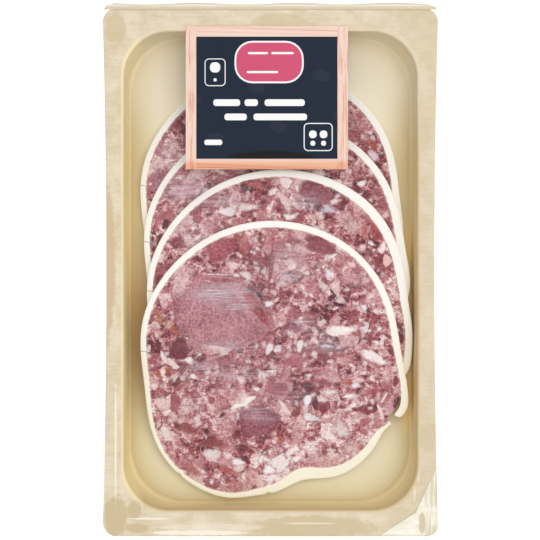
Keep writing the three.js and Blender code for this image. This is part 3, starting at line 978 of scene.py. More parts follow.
def rind_tail():
    bm = bmesh.new()
    made = bmesh.ops.create_grid(bm, x_segments=40, y_segments=8, size=0.5)
    verts = made["verts"]
    x, y = plan(verts)
    along = x + 0.5
    angles = TAIL_FROM + (TAIL_TO - TAIL_FROM) * along
    rounding = 1 - 0.4 * np.clip((along - 0.92) / 0.08, 0, 1) ** 2
    outer = rim_radius(FRONT, angles) + 0.15 + TAIL_SWING * between(along, 0.2, 0.8)
    radius = outer - TAIL_WIDTH / 2 + y * TAIL_WIDTH * rounding
    px = FRONT["x"] + radius * np.cos(np.radians(angles))
    py = FRONT["y"] + radius * np.sin(np.radians(angles))
    crown = 0.2 * (1 - (2 * y) ** 4)
    place_verts(verts, px, py, underside(3, px, py) + SLICE_THICKNESS + crown - 0.05)
    layers = {name: bm.verts.layers.float.new(name)
              for name in ("inside_rind", "from_seam", "paleness")}
    for vert in bm.verts:
        vert[layers["inside_rind"]] = -2.0
        vert[layers["from_seam"]] = 50.0
    edges = [edge for edge in bm.edges if edge.is_boundary]
    for depth in (0.4, 0.8, 1.0):
        ring, edges = extrude_edge_down(bm, edges)
        rx, ry = plan(ring)
        bottom = underside(3, rx, ry)
        place_verts(ring, rx, ry, bottom + SLICE_THICKNESS * (1 - depth))
    bmesh.ops.holes_fill(bm, edges=edges, sides=0)
    bmesh.ops.recalc_face_normals(bm, faces=bm.faces)
    return to_piece(bm, "loose_rind", terrine_material)


rind_tail()

# %% [markdown]
# ## Whole pieces of meat and fat
#
# The tongue and the dark muscles are single pieces with one colour and one run of fibres, so
# they are meshes of their own, flush with the cut face. Their material takes a colour from the
# mesh, draws fibres along the piece and lets the rim of the piece go darker, as cured meat does
# where the brine reached it first.

# %% Meat piece material
def piece_surface(recipe):
    place = recipe.millimetres()
    tint = recipe.named("tint", output="Color")
    turned = recipe.add("VectorRotate", {"Vector": place, "Angle": recipe.named("grain")},
                        rotation_type="Z_AXIS")
    fibre = recipe.noise(recipe.scale(turned, (0.4, 1.5, 1.0)), 1.0, 4.0, 0.6)
    mottle = recipe.noise(place, 0.9, 5.0, 0.8)
    clouds = recipe.noise(place, 0.13, 3.0, 0.6)
    ragged = recipe.noise(place, 0.9, 5.0, 0.7)
    light = recipe.math("ADD", recipe.math("MULTIPLY", fibre, 0.45),
                        recipe.math("MULTIPLY", mottle, 1.25))
    light = recipe.math("ADD", light, recipe.math("MULTIPLY", clouds, 0.5))
    # Fat is nearly even, and the darkest meat has the strongest flecks.
    green = recipe.channels(tint)[1]
    dark = recipe.step(green, 0.04, 0.16, 1.0, 0.0)
    low = recipe.mix(dark, (0.54, 0.38, 0.42, 1.0), (0.50, 0.30, 0.36, 1.0))
    high = recipe.mix(dark, (1.32, 1.56, 1.50, 1.0), (1.55, 2.2, 2.0, 1.0))
    gain = recipe.mix(recipe.step(light, 0.84, 1.38), low, high)
    gain = recipe.mix(recipe.step(green, 0.35, 0.65, 0.0, 0.7), gain, (1.0, 1.0, 1.0, 1.0))
    color = recipe.mix(1.0, tint, gain, "MULTIPLY")
    from_edge = recipe.math("ADD", recipe.named("from_edge"),
                            recipe.math("MULTIPLY", recipe.math("SUBTRACT", ragged, 0.5), 2.6))
    rim = recipe.step(from_edge, 1.0, 2.8, 1.0, 0.0)
    color = recipe.mix(recipe.math("MULTIPLY", rim, recipe.named("dark_rim")), color,
                       linear(114, 40, 52))
    # The outermost bit takes the colour of the mosaic, so that the piece lies in it.
    around = use_group(recipe, mosaic, {"Place": place, "Paleness": -0.03})
    color = recipe.mix(recipe.step(from_edge, -0.2, 1.3, 1.0, 0.0), color, around["Color"])
    return {"Base Color": color,
            "Roughness": recipe.math("ADD", 0.32, recipe.math("MULTIPLY", mottle, 0.2)),
            "Normal": recipe.bump(recipe.math("ADD", fibre, mottle), 0.35, 0.00015)}


piece_material = new_material("whole meat", piece_surface, Specular_IOR_Level=0.2)

# %% Whole pieces
# Each piece: solid, slice, place, half sizes, turn, lobe depth, colour, fibre direction in
# degrees and how dark its rim is.
WHOLE_PIECES = [
    ("tongue_piece", 3, -22.2, -18.8, 23.2, 17.2, -14, 0.04, (188, 128, 135), 100, 0.25),
    ("muscle_top", 3, -22.2, 9.4, 7.6, 5.4, 25, 0.12, (172, 78, 88), 10, 0.2),
    ("muscle_right", 3, 21.3, 10.8, 8.6, 4.0, -24, 0.08, (144, 66, 77), -20, 0.3),
    ("muscle_left", 3, -40.8, -35.6, 5.8, 5.0, 80, 0.08, (116, 42, 52), 0, 0.4),
    ("muscle_low", 3, -5.6, -69.0, 9.7, 8.0, 8, 0.07, (154, 82, 94), 0, 0.8),
    ("cartilage_piece", 3, 31.2, -27.4, 7.6, 2.6, 4, 0.1, (250, 236, 230), 0, 0.0),
    ("fat_right", 3, 46.4, -39.4, 7.8, 2.6, -28, 0.1, (252, 236, 236), -28, 0.0),
    ("fat_low", 3, 4.3, -87.2, 6.8, 4.2, 40, 0.1, (240, 224, 222), 40, 0.0),
    ("muscle_behind", 2, 20.2, 35.0, 9.0, 5.0, -22, 0.08, (146, 74, 85), -20, 0.3),
]
PIECE_LAYERS = ("grain", "from_edge", "dark_rim")


def lobed(u, v, long, short, turn, depth, ragged):
    """Points of a unit disc stretched to a lobed, ragged oval and turned, in millimetres."""
    angles = np.arctan2(v, u)
    out = 1 + depth * np.cos(3 * angles)
    for count, phase in ((5, 1.3), (9, 0.4), (14, 2.2)):
        out += ragged * np.cos(count * angles + phase * long) / math.sqrt(count)
    x, y = u * long * out, v * short * out
    c, s = math.cos(math.radians(turn)), math.sin(math.radians(turn))
    return x * c - y * s, x * s + y * c


def whole_piece(node, index, x, y, long, short, turn, depth, color, grain, dark_rim):
    one = SLICES[index]
    bm = bmesh.new()
    cells = int(max(24, min(110, 4 * long)))
    verts = squeeze_to_disc(bm, cells)
    u, v = plan(verts)
    share = np.hypot(u, v)
    dx, dy = lobed(u, v, long, short, turn, depth, 0.05)
    px, py = hold_inside(one, x + dx, y + dy)
    lift = 0.08 - 0.12 * between((1 - share) * short, 0.7, 0.0)
    place_verts(verts, px, py, face_height(one, px, py) + lift)
    tint = bm.verts.layers.float_color.new("tint")
    layers = {name: bm.verts.layers.float.new(name) for name in PIECE_LAYERS}
    for vert, out in zip(bm.verts, share.tolist()):
        vert[tint] = linear(*color)
        vert[layers["grain"]] = math.radians(-grain)
        vert[layers["from_edge"]] = (1 - out) * short
        vert[layers["dark_rim"]] = dark_rim
    edges = [edge for edge in bm.edges if edge.is_boundary]
    for deep in (1.5, SLICE_THICKNESS):
        ring, edges = extrude_edge_down(bm, edges)
        rx, ry = plan(ring)
        top = underside(index, rx, ry) + SLICE_THICKNESS
        place_verts(ring, rx, ry, top - deep)
    bmesh.ops.holes_fill(bm, edges=edges, sides=0)
    bmesh.ops.recalc_face_normals(bm, faces=bm.faces)
    return to_piece(bm, node + "_cut", piece_material, [node])


for entry in WHOLE_PIECES:
    whole_piece(*entry)

# %% [markdown]
# ## Bits
#
# Hundreds of smaller bits of fat, gristle and lean meat are set in the mosaic. Each is a low
# lobed disc of its own, a hair proud of the cut face, so that it keeps a crisp edge and catches
# the light. A few that stand out are listed one by one. The rest are drawn at random, with a
# fixed seed, and only where the next slice doesn't cover them.

# %% Bits listed one by one
# Each bit of the front slice: place, half sizes, turn, colour, how far its edge is soft.
SET_BITS = [
    # Slivers and slabs of white fat and gristle.
    (-14.8, -61.4, 3.6, 1.1, 20, (254, 246, 232), 0.18),
    (-9.6, -58.8, 4.4, 1.1, 37, (254, 246, 232), 0.18),
    (-48.5, -60.5, 3.4, 4.2, 10, (234, 200, 196), 1.4),
    (16.6, -58.8, 1.7, 3.0, -4, (246, 240, 243), 0.4),
    (18.0, -66.6, 4.4, 2.3, -8, (232, 222, 221), 0.8),
    (-0.8, -15.4, 2.2, 1.7, -8, (240, 236, 240), 0.5),
    (-0.6, -35.6, 1.6, 3.2, -28, (236, 224, 224), 0.6),
    (13.2, -34.2, 1.7, 3.1, -14, (238, 226, 224), 0.6),
    (25.2, -34.4, 3.6, 1.1, -4, (222, 216, 232), 0.6),
    (0.4, -45.6, 2.6, 0.9, 6, (240, 226, 218), 0.4),
    (-3.4, -46.6, 4.2, 0.9, -30, (236, 220, 214), 0.5),
    (17.2, -47.6, 1.7, 1.0, 0, (240, 226, 224), 0.4),
    (-26.4, -83.4, 5.0, 2.8, -6, (232, 214, 212), 0.9),
    (-14.6, -86.8, 2.9, 2.0, 2, (246, 232, 234), 0.6),
    (-26.6, -96.0, 1.2, 1.2, 0, (236, 228, 232), 0.4),
    (-30.4, -91.2, 1.5, 1.3, 0, (226, 216, 220), 0.5),
    (35.0, -57.0, 2.4, 1.3, -4, (252, 240, 234), 0.4),
    (26.6, -55.2, 3.8, 1.5, 6, (236, 222, 220), 0.6),
    (38.2, -52.2, 2.6, 1.7, 8, (238, 224, 226), 0.6),
    (31.6, -72.0, 4.2, 5.6, 10, (228, 206, 202), 2.4),
    (-48.2, -46.4, 1.7, 3.2, 12, (240, 220, 212), 0.8),
    (-48.0, -39.4, 1.3, 3.0, 30, (240, 224, 222), 0.6),
    (-43.6, -42.6, 1.4, 4.8, 50, (240, 216, 208), 0.7),
    (-45.6, -49.2, 5.2, 0.5, 36, (240, 206, 192), 0.3),
    (-47.6, -73.4, 1.8, 3.6, 12, (238, 222, 220), 0.8),
    (-16.8, 2.0, 3.6, 2.2, -8, (238, 204, 200), 0.9),
    (-15.2, -2.6, 2.3, 1.0, -12, (240, 224, 220), 0.5),
    (-24.6, -2.2, 8.4, 0.5, -2, (240, 214, 212), 0.3),
    (26.2, -1.6, 2.7, 2.2, 0, (240, 228, 230), 1.0),
    (16.4, -1.6, 2.0, 1.6, 0, (236, 222, 224), 0.8),
    (42.0, -17.2, 2.2, 2.3, 0, (240, 226, 228), 0.9),
    (43.0, -26.2, 1.1, 3.0, -16, (232, 214, 216), 0.6),
    (31.6, -13.6, 2.6, 2.0, -20, (222, 204, 202), 0.9),
    (24.0, -8.0, 3.2, 2.0, -20, (224, 204, 198), 1.2),
    (-16.6, -62.4, 2.4, 1.2, 60, (240, 214, 206), 0.6),
    (49.6, -63.8, 0.7, 4.4, 24, (242, 220, 216), 0.4),
    (51.2, -57.8, 0.7, 3.0, -30, (242, 220, 216), 0.4),
    (6.4, -62.4, 1.3, 4.4, 32, (240, 214, 208), 0.8),
    (-0.6, -90.4, 3.6, 3.0, 30, (250, 238, 240), 1.2),
    (8.6, -82.8, 3.6, 2.0, 40, (250, 236, 236), 1.0),
    (-25.0, -35.0, 6.5, 1.2, -12, (230, 200, 198), 0.6),
    # Broad pink and pale pieces.
    (-40.0, -4.4, 6.4, 8.6, -20, (220, 178, 178), 3.4),
    (-37.6, -61.6, 4.4, 5.6, 4, (216, 176, 176), 2.0),
    (-43.6, -67.0, 4.0, 3.0, 0, (222, 184, 180), 1.8),
    (24.0, -45.6, 2.6, 1.9, 0, (206, 140, 150), 0.8),
    (53.4, -62.0, 2.2, 4.6, -20, (204, 154, 162), 0.9),
    (36.4, -4.4, 6.6, 4.2, -30, (208, 152, 158), 2.2),
    (7.0, -3.6, 7.0, 5.0, 0, (204, 172, 180), 3.0),
    (-20.0, -48.6, 5.0, 4.2, 0, (196, 142, 150), 2.4),
    (36.0, -80.0, 5.6, 4.0, 40, (214, 178, 172), 3.0),
    (20.0, -85.0, 6.6, 3.2, 16, (216, 180, 178), 2.6),
    # Dark lean meat, seen along or across its fibres.
    (-6.6, -16.6, 11.2, 2.6, -53, (164, 72, 78), 0.3),
    (-24.4, -4.6, 9.6, 1.1, -2, (176, 94, 100), 0.7),
    (-11.4, 11.2, 2.0, 5.4, 6, (186, 108, 108), 1.4),
    (0.4, 2.0, 1.2, 8.6, -6, (140, 70, 74), 0.6),
    (4.6, -8.4, 0.7, 6.6, 2, (150, 72, 76), 0.4),
    (-46.6, -45.8, 2.9, 2.6, 24, (164, 78, 62), 0.8),
    (-50.2, -46.8, 1.4, 2.2, 0, (176, 86, 66), 0.6),
    (-43.4, -59.6, 1.9, 7.0, -4, (158, 84, 94), 1.1),
    (-40.6, -52.4, 4.6, 1.5, 16, (164, 84, 94), 0.8),
    (-36.2, -61.2, 2.8, 1.0, 4, (150, 54, 56), 0.5),
    (-37.4, -72.0, 5.8, 3.0, -10, (146, 72, 74), 1.2),
    (-24.6, -78.4, 7.4, 3.0, 6, (138, 60, 64), 1.2),
    (-4.0, -75.6, 7.0, 1.4, 8, (112, 48, 60), 0.9),
    (-40.0, -44.0, 3.0, 4.0, 0, (134, 58, 66), 1.2),
    (-8.6, -8.4, 3.0, 2.2, -40, (112, 50, 56), 1.0),
    (12.0, 12.6, 5.0, 2.4, -20, (150, 74, 84), 1.4),
    (13.0, -11.6, 2.4, 1.8, 0, (140, 66, 74), 0.9),
    (-12.4, -81.0, 4.4, 3.0, -14, (122, 50, 64), 1.1),
    (-4.4, -52.0, 1.8, 1.5, 0, (150, 58, 60), 0.5),
    (12.4, -45.4, 2.4, 2.0, 12, (150, 60, 62), 0.8),
    (56.4, -50.2, 1.4, 3.4, -4, (148, 62, 76), 0.6),
    (46.0, -55.0, 3.6, 2.6, -16, (152, 60, 70), 1.2),
    (20.2, -60.0, 1.6, 3.4, -6, (96, 34, 44), 0.5),
    (24.2, -61.6, 3.4, 2.8, 0, (132, 52, 62), 1.1),
    (32.8, -79.8, 1.3, 1.2, 0, (172, 92, 98), 0.4),
    (41.2, -80.2, 1.9, 2.1, 0, (190, 118, 116), 0.7),
    (28.4, -78.8, 1.8, 1.2, 0, (180, 100, 96), 0.6),
    (11.6, -26.4, 6.4, 2.8, -8, (158, 82, 98), 1.4),
    (9.2, -41.2, 6.8, 2.4, 10, (166, 80, 92), 1.2),
    (3.8, -53.4, 6.6, 4.4, 6, (166, 88, 100), 1.6),
    (-16.6, -42.0, 9.0, 2.0, -4, (164, 92, 104), 1.1),
    (22.6, -50.6, 6.6, 1.9, -6, (162, 82, 94), 1.0),
    (31.8, -38.6, 5.4, 1.8, -4, (176, 96, 104), 0.9),
    (-33.0, -84.6, 1.5, 1.2, 0, (112, 30, 40), 0.5),
    (-34.0, -91.0, 5.4, 2.6, -34, (186, 112, 108), 1.2),
    (-19.6, -90.6, 5.0, 2.2, -22, (176, 84, 80), 1.0),
    (-32.6, -3.4, 4.4, 0.9, -4, (182, 104, 110), 0.6),
    (-50.0, -21.0, 1.4, 4.6, 16, (188, 118, 96), 1.0),
    (-46.2, -24.4, 2.6, 2.2, 0, (206, 160, 142), 1.2),
    # Crevices and dark jelly.
    (-5.2, -11.4, 3.4, 0.9, -60, (46, 17, 21), 0.3),
    (-3.2, -15.8, 2.4, 0.4, -64, (62, 26, 30), 0.3),
    (30.6, -15.6, 3.6, 1.1, -16, (78, 26, 42), 0.25),
    (27.4, -12.6, 2.6, 1.5, 20, (92, 34, 50), 0.35),
    (33.6, -13.2, 3.0, 1.1, -30, (104, 40, 56), 0.3),
    (25.4, -16.2, 1.4, 0.9, 20, (58, 22, 32), 0.3),
    (28.0, -10.4, 0.7, 2.6, 34, (104, 44, 56), 0.4),
    (35.0, -12.0, 0.7, 3.0, -20, (110, 52, 60), 0.4),
    (33.0, -7.8, 2.2, 0.6, -30, (110, 62, 68), 0.4),
    (-25.2, -0.2, 1.0, 0.8, 0, (74, 34, 36), 0.3),
    (-29.6, 1.8, 1.4, 0.7, 20, (92, 54, 50), 0.4),
    (-18.6, 0.4, 0.8, 0.6, 0, (78, 30, 36), 0.3),
    (1.8, -39.8, 1.9, 1.1, 0, (96, 32, 40), 0.5),
    (-9.2, -46.0, 2.0, 1.8, 0, (104, 40, 44), 0.7),
    (29.8, -80.8, 0.5, 0.4, 0, (50, 24, 28), 0.2),
    (49.8, -47.4, 0.7, 0.5, 40, (60, 26, 32), 0.2),
    (-46.0, -77.6, 1.4, 0.5, 10, (84, 24, 22), 0.3),
    (-7.8, -98.6, 1.4, 0.5, 30, (92, 36, 34), 0.3),
    (2.0, -90.6, 0.7, 1.2, -20, (96, 40, 44), 0.3),
    (-37.6, -29.8, 2.4, 1.0, 0, (84, 44, 46), 0.6),
    (-25.0, -38.2, 5.0, 0.8, 10, (110, 48, 58), 0.5),
]

# The same for the strips of the other slices that show, with the slice they are in.
SET_BITS_BEHIND = [
    ("slice_3", -19.4, 26.0, 4.8, 2.1, 6, (242, 228, 230), 0.5),
    ("slice_3", -10.0, 28.0, 7.0, 2.0, 2, (236, 214, 210), 1.0),
    ("slice_3", 6.8, 39.4, 3.2, 3.4, 10, (248, 228, 226), 0.8),
    ("slice_3", 6.4, 30.6, 8.4, 2.4, -58, (238, 208, 204), 1.2),
    ("slice_3", 1.6, 35.0, 3.2, 2.4, 0, (244, 222, 218), 1.0),
    ("slice_3", -6.0, 38.0, 7.0, 2.4, -10, (176, 92, 94), 1.2),
    ("slice_3", -26.0, 31.4, 4.6, 3.2, 30, (146, 60, 64), 1.0),
    ("slice_3", 42.0, 30.0, 1.4, 5.0, 20, (222, 190, 192), 0.8),
    ("slice_3", 50.4, 9.6, 1.7, 3.2, -24, (242, 220, 216), 0.8),
    ("slice_3", 52.4, 4.0, 2.2, 2.9, -20, (234, 190, 182), 0.4),
    ("slice_3", 47.5, 16.5, 2.6, 5.0, 35, (164, 68, 72), 0.9),
    # These two dark spots are painted shade in hollows just outside the front slice's rind.
    ("slice_3", 41.9, 6.7, 1.8, 0.7, -50, (40, 22, 16), 0.3),
    ("slice_3", 48.9, -1.6, 1.4, 0.6, -55, (60, 35, 40), 0.3),
    ("slice_2", 51.8, 24.2, 1.8, 1.2, 0, (232, 206, 212), 0.4),
    ("slice_1", 46.5, 51.5, 3.4, 2.0, -50, (226, 206, 216), 0.8),
    ("slice_1", 46.6, 56.4, 1.6, 3.4, 30, (164, 66, 62), 0.7),
    ("slice_3", 39.4, 15.4, 1.2, 0.9, 0, (58, 20, 26), 0.4),
    ("slice_3", -39.0, 22.0, 6.4, 3.0, 20, (216, 176, 178), 1.6),
    ("slice_3", 26.0, 27.0, 5.4, 2.0, 0, (206, 190, 204), 1.0),
    ("slice_3", 35.0, 21.0, 4.0, 6.0, 30, (204, 160, 156), 1.6),
    ("slice_3", 22.0, 24.4, 3.0, 2.4, 10, (222, 196, 184), 1.0),
    ("slice_3", 42.4, 17.0, 1.6, 4.4, 0, (188, 106, 92), 1.0),
    ("slice_2", -33.0, 43.0, 7.0, 3.8, 24, (218, 182, 182), 1.2),
    ("slice_2", 41.2, 38.8, 2.4, 1.8, 10, (246, 236, 234), 0.7),
    ("slice_2", 43.8, 34.0, 1.6, 2.2, 10, (120, 44, 56), 0.6),
    ("slice_2", 56.0, 24.4, 2.0, 1.0, 0, (240, 226, 226), 0.6),
    ("slice_2", -22.6, 44.0, 4.6, 1.2, -20, (246, 236, 232), 0.7),
    ("slice_2", -38.0, 36.4, 8.0, 4.6, 30, (192, 132, 146), 2.0),
    ("slice_2", -47.4, 20.4, 1.4, 3.4, -20, (90, 34, 42), 0.7),
    ("slice_2", -49.4, 12.4, 2.0, 4.6, -14, (128, 54, 64), 1.0),
    ("slice_1", -51.0, 41.0, 5.8, 3.0, 74, (164, 102, 124), 1.2),
    ("slice_1", -44.0, 56.0, 4.4, 3.0, 60, (216, 176, 172), 1.6),
]

# %% [markdown]
# The other bits come from a seeded random draw: pale ones, red ones and a few dark gaps, small
# ones far more often than large ones. A bit is a small grid squeezed to a disc, because its
# vertices must know how far they are from its edge, and a fan has none in between.

# %% Bits
BIT_LAYERS = PIECE_LAYERS
# Colour families of the bits drawn at random, with how often each comes.
BIT_COLORS = [((248, 234, 231), 0.20), ((232, 208, 207), 0.16), ((214, 168, 170), 0.14),
              ((182, 104, 113), 0.14), ((162, 80, 88), 0.13), ((134, 54, 64), 0.08),
              ((186, 96, 78), 0.08), ((224, 214, 222), 0.05), ((96, 34, 40), 0.03)]
BIT_SEED = 11
BITS_PER_SLICE = 260


def add_bit(bm, layers, tint_layer, one, x, y, long, short, turn, color, lift, soft):
    """One low disc with a rounded, slightly irregular edge."""
    cells = int(np.clip(3.2 * long, 5, 36))
    verts = squeeze_to_disc(bm, cells)
    u, v = plan(verts)
    share = np.hypot(u, v)
    angles = np.arctan2(v, u)
    out = np.ones_like(u)
    for count, size in ((2, 0.10), (3, 0.12), (5, 0.07)):
        out += size * np.cos(count * angles + count * (x + 2 * y))
    c, s = math.cos(math.radians(turn)), math.sin(math.radians(turn))
    dx, dy = u * long * out, v * short * out
    px, py = hold_inside(one, x + dx * c - dy * s, y + dx * s + dy * c)
    dip = (lift + 0.04) * between(share, 0.75, 1.0)
    place_verts(verts, px, py, face_height(one, px, py) + lift - dip)
    edges = list({edge for vert in verts for edge in vert.link_edges if edge.is_boundary})
    ring, _ = extrude_edge_down(bm, edges)
    rx, ry = plan(ring)
    place_verts(ring, rx, ry, face_height(one, rx, ry) - 0.4)
    inward = list((1 - share) * min(short, 6 * soft) / soft) + [0.0] * len(ring)
    for vert, from_edge in zip(list(verts) + ring, inward):
        vert[tint_layer] = linear(*color)
        vert[layers["grain"]] = math.radians(-turn)
        vert[layers["from_edge"]] = from_edge
        vert[layers["dark_rim"]] = 0.0


def shows(one, x, y):
    """True where the next slice leaves this one uncovered and the point is off the rind."""
    turn, away = polar(one, np.array([x]), np.array([y]))
    if away[0] > meat_radius(one, turn)[0] - max(rind_width(one, turn)[0], 0) - 1.5:
        return False
    if one is FRONT:
        return True
    upper = SLICES[one["index"] + 1]
    turn, away = polar(upper, np.array([x]), np.array([y]))
    return bool(away[0] > rim_radius(upper, turn)[0] - 1.0)


def on_whole_piece(one, x, y):
    for _, index, px, py, long, short, turn, *_ in WHOLE_PIECES:
        if SLICES[index] is not one:
            continue
        c, s = math.cos(math.radians(turn)), math.sin(math.radians(turn))
        u = ((x - px) * c + (y - py) * s) / long
        v = (-(x - px) * s + (y - py) * c) / short
        if math.hypot(u, v) < 1.06:
            return True
    return False


def bits_piece(one, random):
    bm = bmesh.new()
    tint_layer = bm.verts.layers.float_color.new("tint")
    layers = {name: bm.verts.layers.float.new(name) for name in BIT_LAYERS}
    colors, shares = zip(*BIT_COLORS)
    shares = np.array(shares) / sum(shares)
    count = 0
    for _ in range(BITS_PER_SLICE):
        reach = SLICE_RADIUS * math.sqrt(random.random())
        angle = random.uniform(0, 2 * math.pi)
        x = one["x"] + reach * math.cos(angle)
        y = one["y"] + reach * math.sin(angle)
        size = 0.6 + 1.5 * random.random() ** 2.5
        stretch = random.uniform(1.0, 2.4)
        turn = random.uniform(-50, 50)
        color = colors[random.choice(len(colors), p=shares)]
        lift = random.uniform(0.03, 0.09)
        if shows(one, x, y) and not on_whole_piece(one, x, y):
            add_bit(bm, layers, tint_layer, one, x, y, size * stretch, size, turn, color, lift,
                    0.9)
            count += 1
    if one is FRONT:
        set_bits = SET_BITS
    else:
        set_bits = [bit[1:] for bit in SET_BITS_BEHIND if bit[0] == one["node"]]
    for number, (x, y, long, short, turn, color, soft) in enumerate(set_bits):
        lift = 0.15 + 0.0008 * (len(set_bits) - number)
        add_bit(bm, layers, tint_layer, one, x, y, long, short, turn, color, lift, 1.3 * soft)
    bmesh.ops.recalc_face_normals(bm, faces=bm.faces)
    print(one["node"], count, "bits")
    return to_piece(bm, one["node"] + "_bits", piece_material)


bit_random = np.random.default_rng(BIT_SEED)
for one in SLICES:
    bits_piece(one, bit_random)

# %% [markdown]
# ## The film
#
# The lid is clear film, almost invisible but for faint milky streaks where it touches the meat
# and a whiter look where it stands free at the peel corner. The streaks are partly the film's
# own haze and partly painted sheen, a pale lilac white that stands in for its reflections.
# Glass would bend the view and slow the render, so the film is a sheet of low alpha whose
# opacity rises in the streaks and at grazing angles. The strength of the haze and sheen is a
# number on the mesh, and stretched noise breaks it into streaks.

# %% Film material
def film_surface(recipe):
    place = recipe.millimetres()
    haze_and_sheen = recipe.named("haze_and_sheen")
    streaks = recipe.noise(recipe.scale(place, (0.07, 1.5, 1.0)), 1.0, 3.0, 0.7)
    lines = recipe.noise(recipe.scale(place, (0.11, 2.6, 1.0)), 1.0, 2.0, 0.6)
    broken = recipe.math("ADD", recipe.step(streaks, 0.38, 0.68), recipe.step(lines, 0.56, 0.68))
    creases = recipe.noise(recipe.scale(place, (0.12, 0.35, 1.0)), 1.0, 3.0, 0.6)
    facing = recipe.add("LayerWeight", {"Blend": 0.25}, output="Facing")
    cover = recipe.math("MULTIPLY", recipe.math("ADD", 0.04, recipe.math("MULTIPLY", broken, 0.3)),
                        haze_and_sheen)
    cover = recipe.math("ADD", cover, 0.012)
    peeled = recipe.step(recipe.named("peeled"), 0.0, 0.5, 0.0, 0.97)
    strip = recipe.step(recipe.named("past_tray"), -0.9, -0.3, 0.0, 0.92)
    peel_tone = recipe.step(recipe.named("peeled"), -0.9, -0.2)
    strip_tone = recipe.step(recipe.named("past_tray"), -2.0, -1.2)
    cover = recipe.math("ADD", cover, peeled)
    cover = recipe.math("ADD", cover, strip)
    cover = recipe.math("ADD", cover, recipe.math("MULTIPLY", facing, 0.25), clamp=True)
    # The loose corner is white, with long creases and a fold along its right edge, where a brown
    # streak and a brown spot are painted shade.
    upright = recipe.noise(recipe.scale(place, (0.75, 0.05, 1.0)), 1.0, 3.0, 0.6)
    right = recipe.step(recipe.add("SeparateXYZ", {0: place}), 68.6, 70.0)
    painted_fold_shade = recipe.math("MULTIPLY", recipe.step(upright, 0.4, 0.62), right)
    corner = recipe.mix(recipe.step(creases, 0.3, 0.7), linear(234, 226, 202),
                        linear(248, 243, 230))
    corner = recipe.mix(painted_fold_shade, corner, linear(212, 202, 172))
    waver = recipe.math("MULTIPLY", recipe.math("SUBTRACT", creases, 0.5), 0.8)
    painted_brown_shade = recipe.spot(place, (67.9, -113.7), (1.5, 4.8), waver)
    corner = recipe.mix(recipe.math("MULTIPLY", painted_brown_shade, 0.8), corner, linear(198, 180, 142))
    # The strip past the tray is a fold of film: beige, with a painted highlight along its middle
    # and ochre below.
    wave = recipe.noise(recipe.scale(place, (0.09, 0.0, 0.0)), 1.0, 3.0, 0.6)
    height = recipe.math("ADD", recipe.named("past_tray"),
                         recipe.math("MULTIPLY", recipe.math("SUBTRACT", wave, 0.5), 1.6))
    fold_with_highlight = recipe.ramp(recipe.math("DIVIDE", height, 2.4), [
        (0.0, linear(214, 198, 168)), (0.3, linear(222, 207, 180)), (0.55, linear(244, 234, 212)),
        (0.78, linear(222, 212, 196)), (1.0, linear(230, 223, 208))])
    # Away from the loose corner the film takes the pale lilac white of its haze and painted sheen.
    color = recipe.mix(peel_tone, linear(240, 226, 236), corner)
    color = recipe.mix(strip_tone, color, fold_with_highlight)
    return {"Base Color": color, "Alpha": cover,
            "Normal": recipe.bump(creases, 0.15, 0.0003)}


film_material = new_material("clear film", film_surface, Roughness=0.15)

# %% Film piece
# Each place where the film clings to the meat, with its haze and painted sheen: place, half
# sizes and strength.
CLINGS_WITH_SHEEN = [(-21.0, -10.5, 11.5, 3.4, 1.35), (-14.0, -16.0, 8, 3.2, 0.8), (8.0, 5.0, 7, 5.0, 0.7),
          (14.6, -23.4, 5.0, 2.6, 1.0), (-37.0, 35.0, 8, 5, 0.6), (9.0, -57.0, 10, 4, 0.35),
          (-6.0, -62.5, 9, 4, 0.45), (15.0, 30.4, 7, 3, 0.8), (25.0, -34.0, 9, 3, 0.7),
          (-31.0, -44.0, 8, 2.4, 0.5), (-20.0, -34.5, 13, 2.2, 0.6), (-46.0, 52.0, 5, 5, 0.5),
          (0.0, -44.0, 36, 12, 0.12), (6.0, 0.0, 34, 10, 0.12), (-32.0, 16.0, 9, 5, 0.5),
          (-22.0, 31.0, 10, 5, 0.6), (-44.0, 38.0, 6, 5, 0.6), (-14.0, -46.0, 16, 3, 0.35),
          (22.0, -28.0, 12, 3, 0.35), (-4.0, -67.0, 7, 1.6, 0.35)]
PEEL_START = 118.8
PEEL_REACH = 16.0
PEEL_LIFT = 1.2


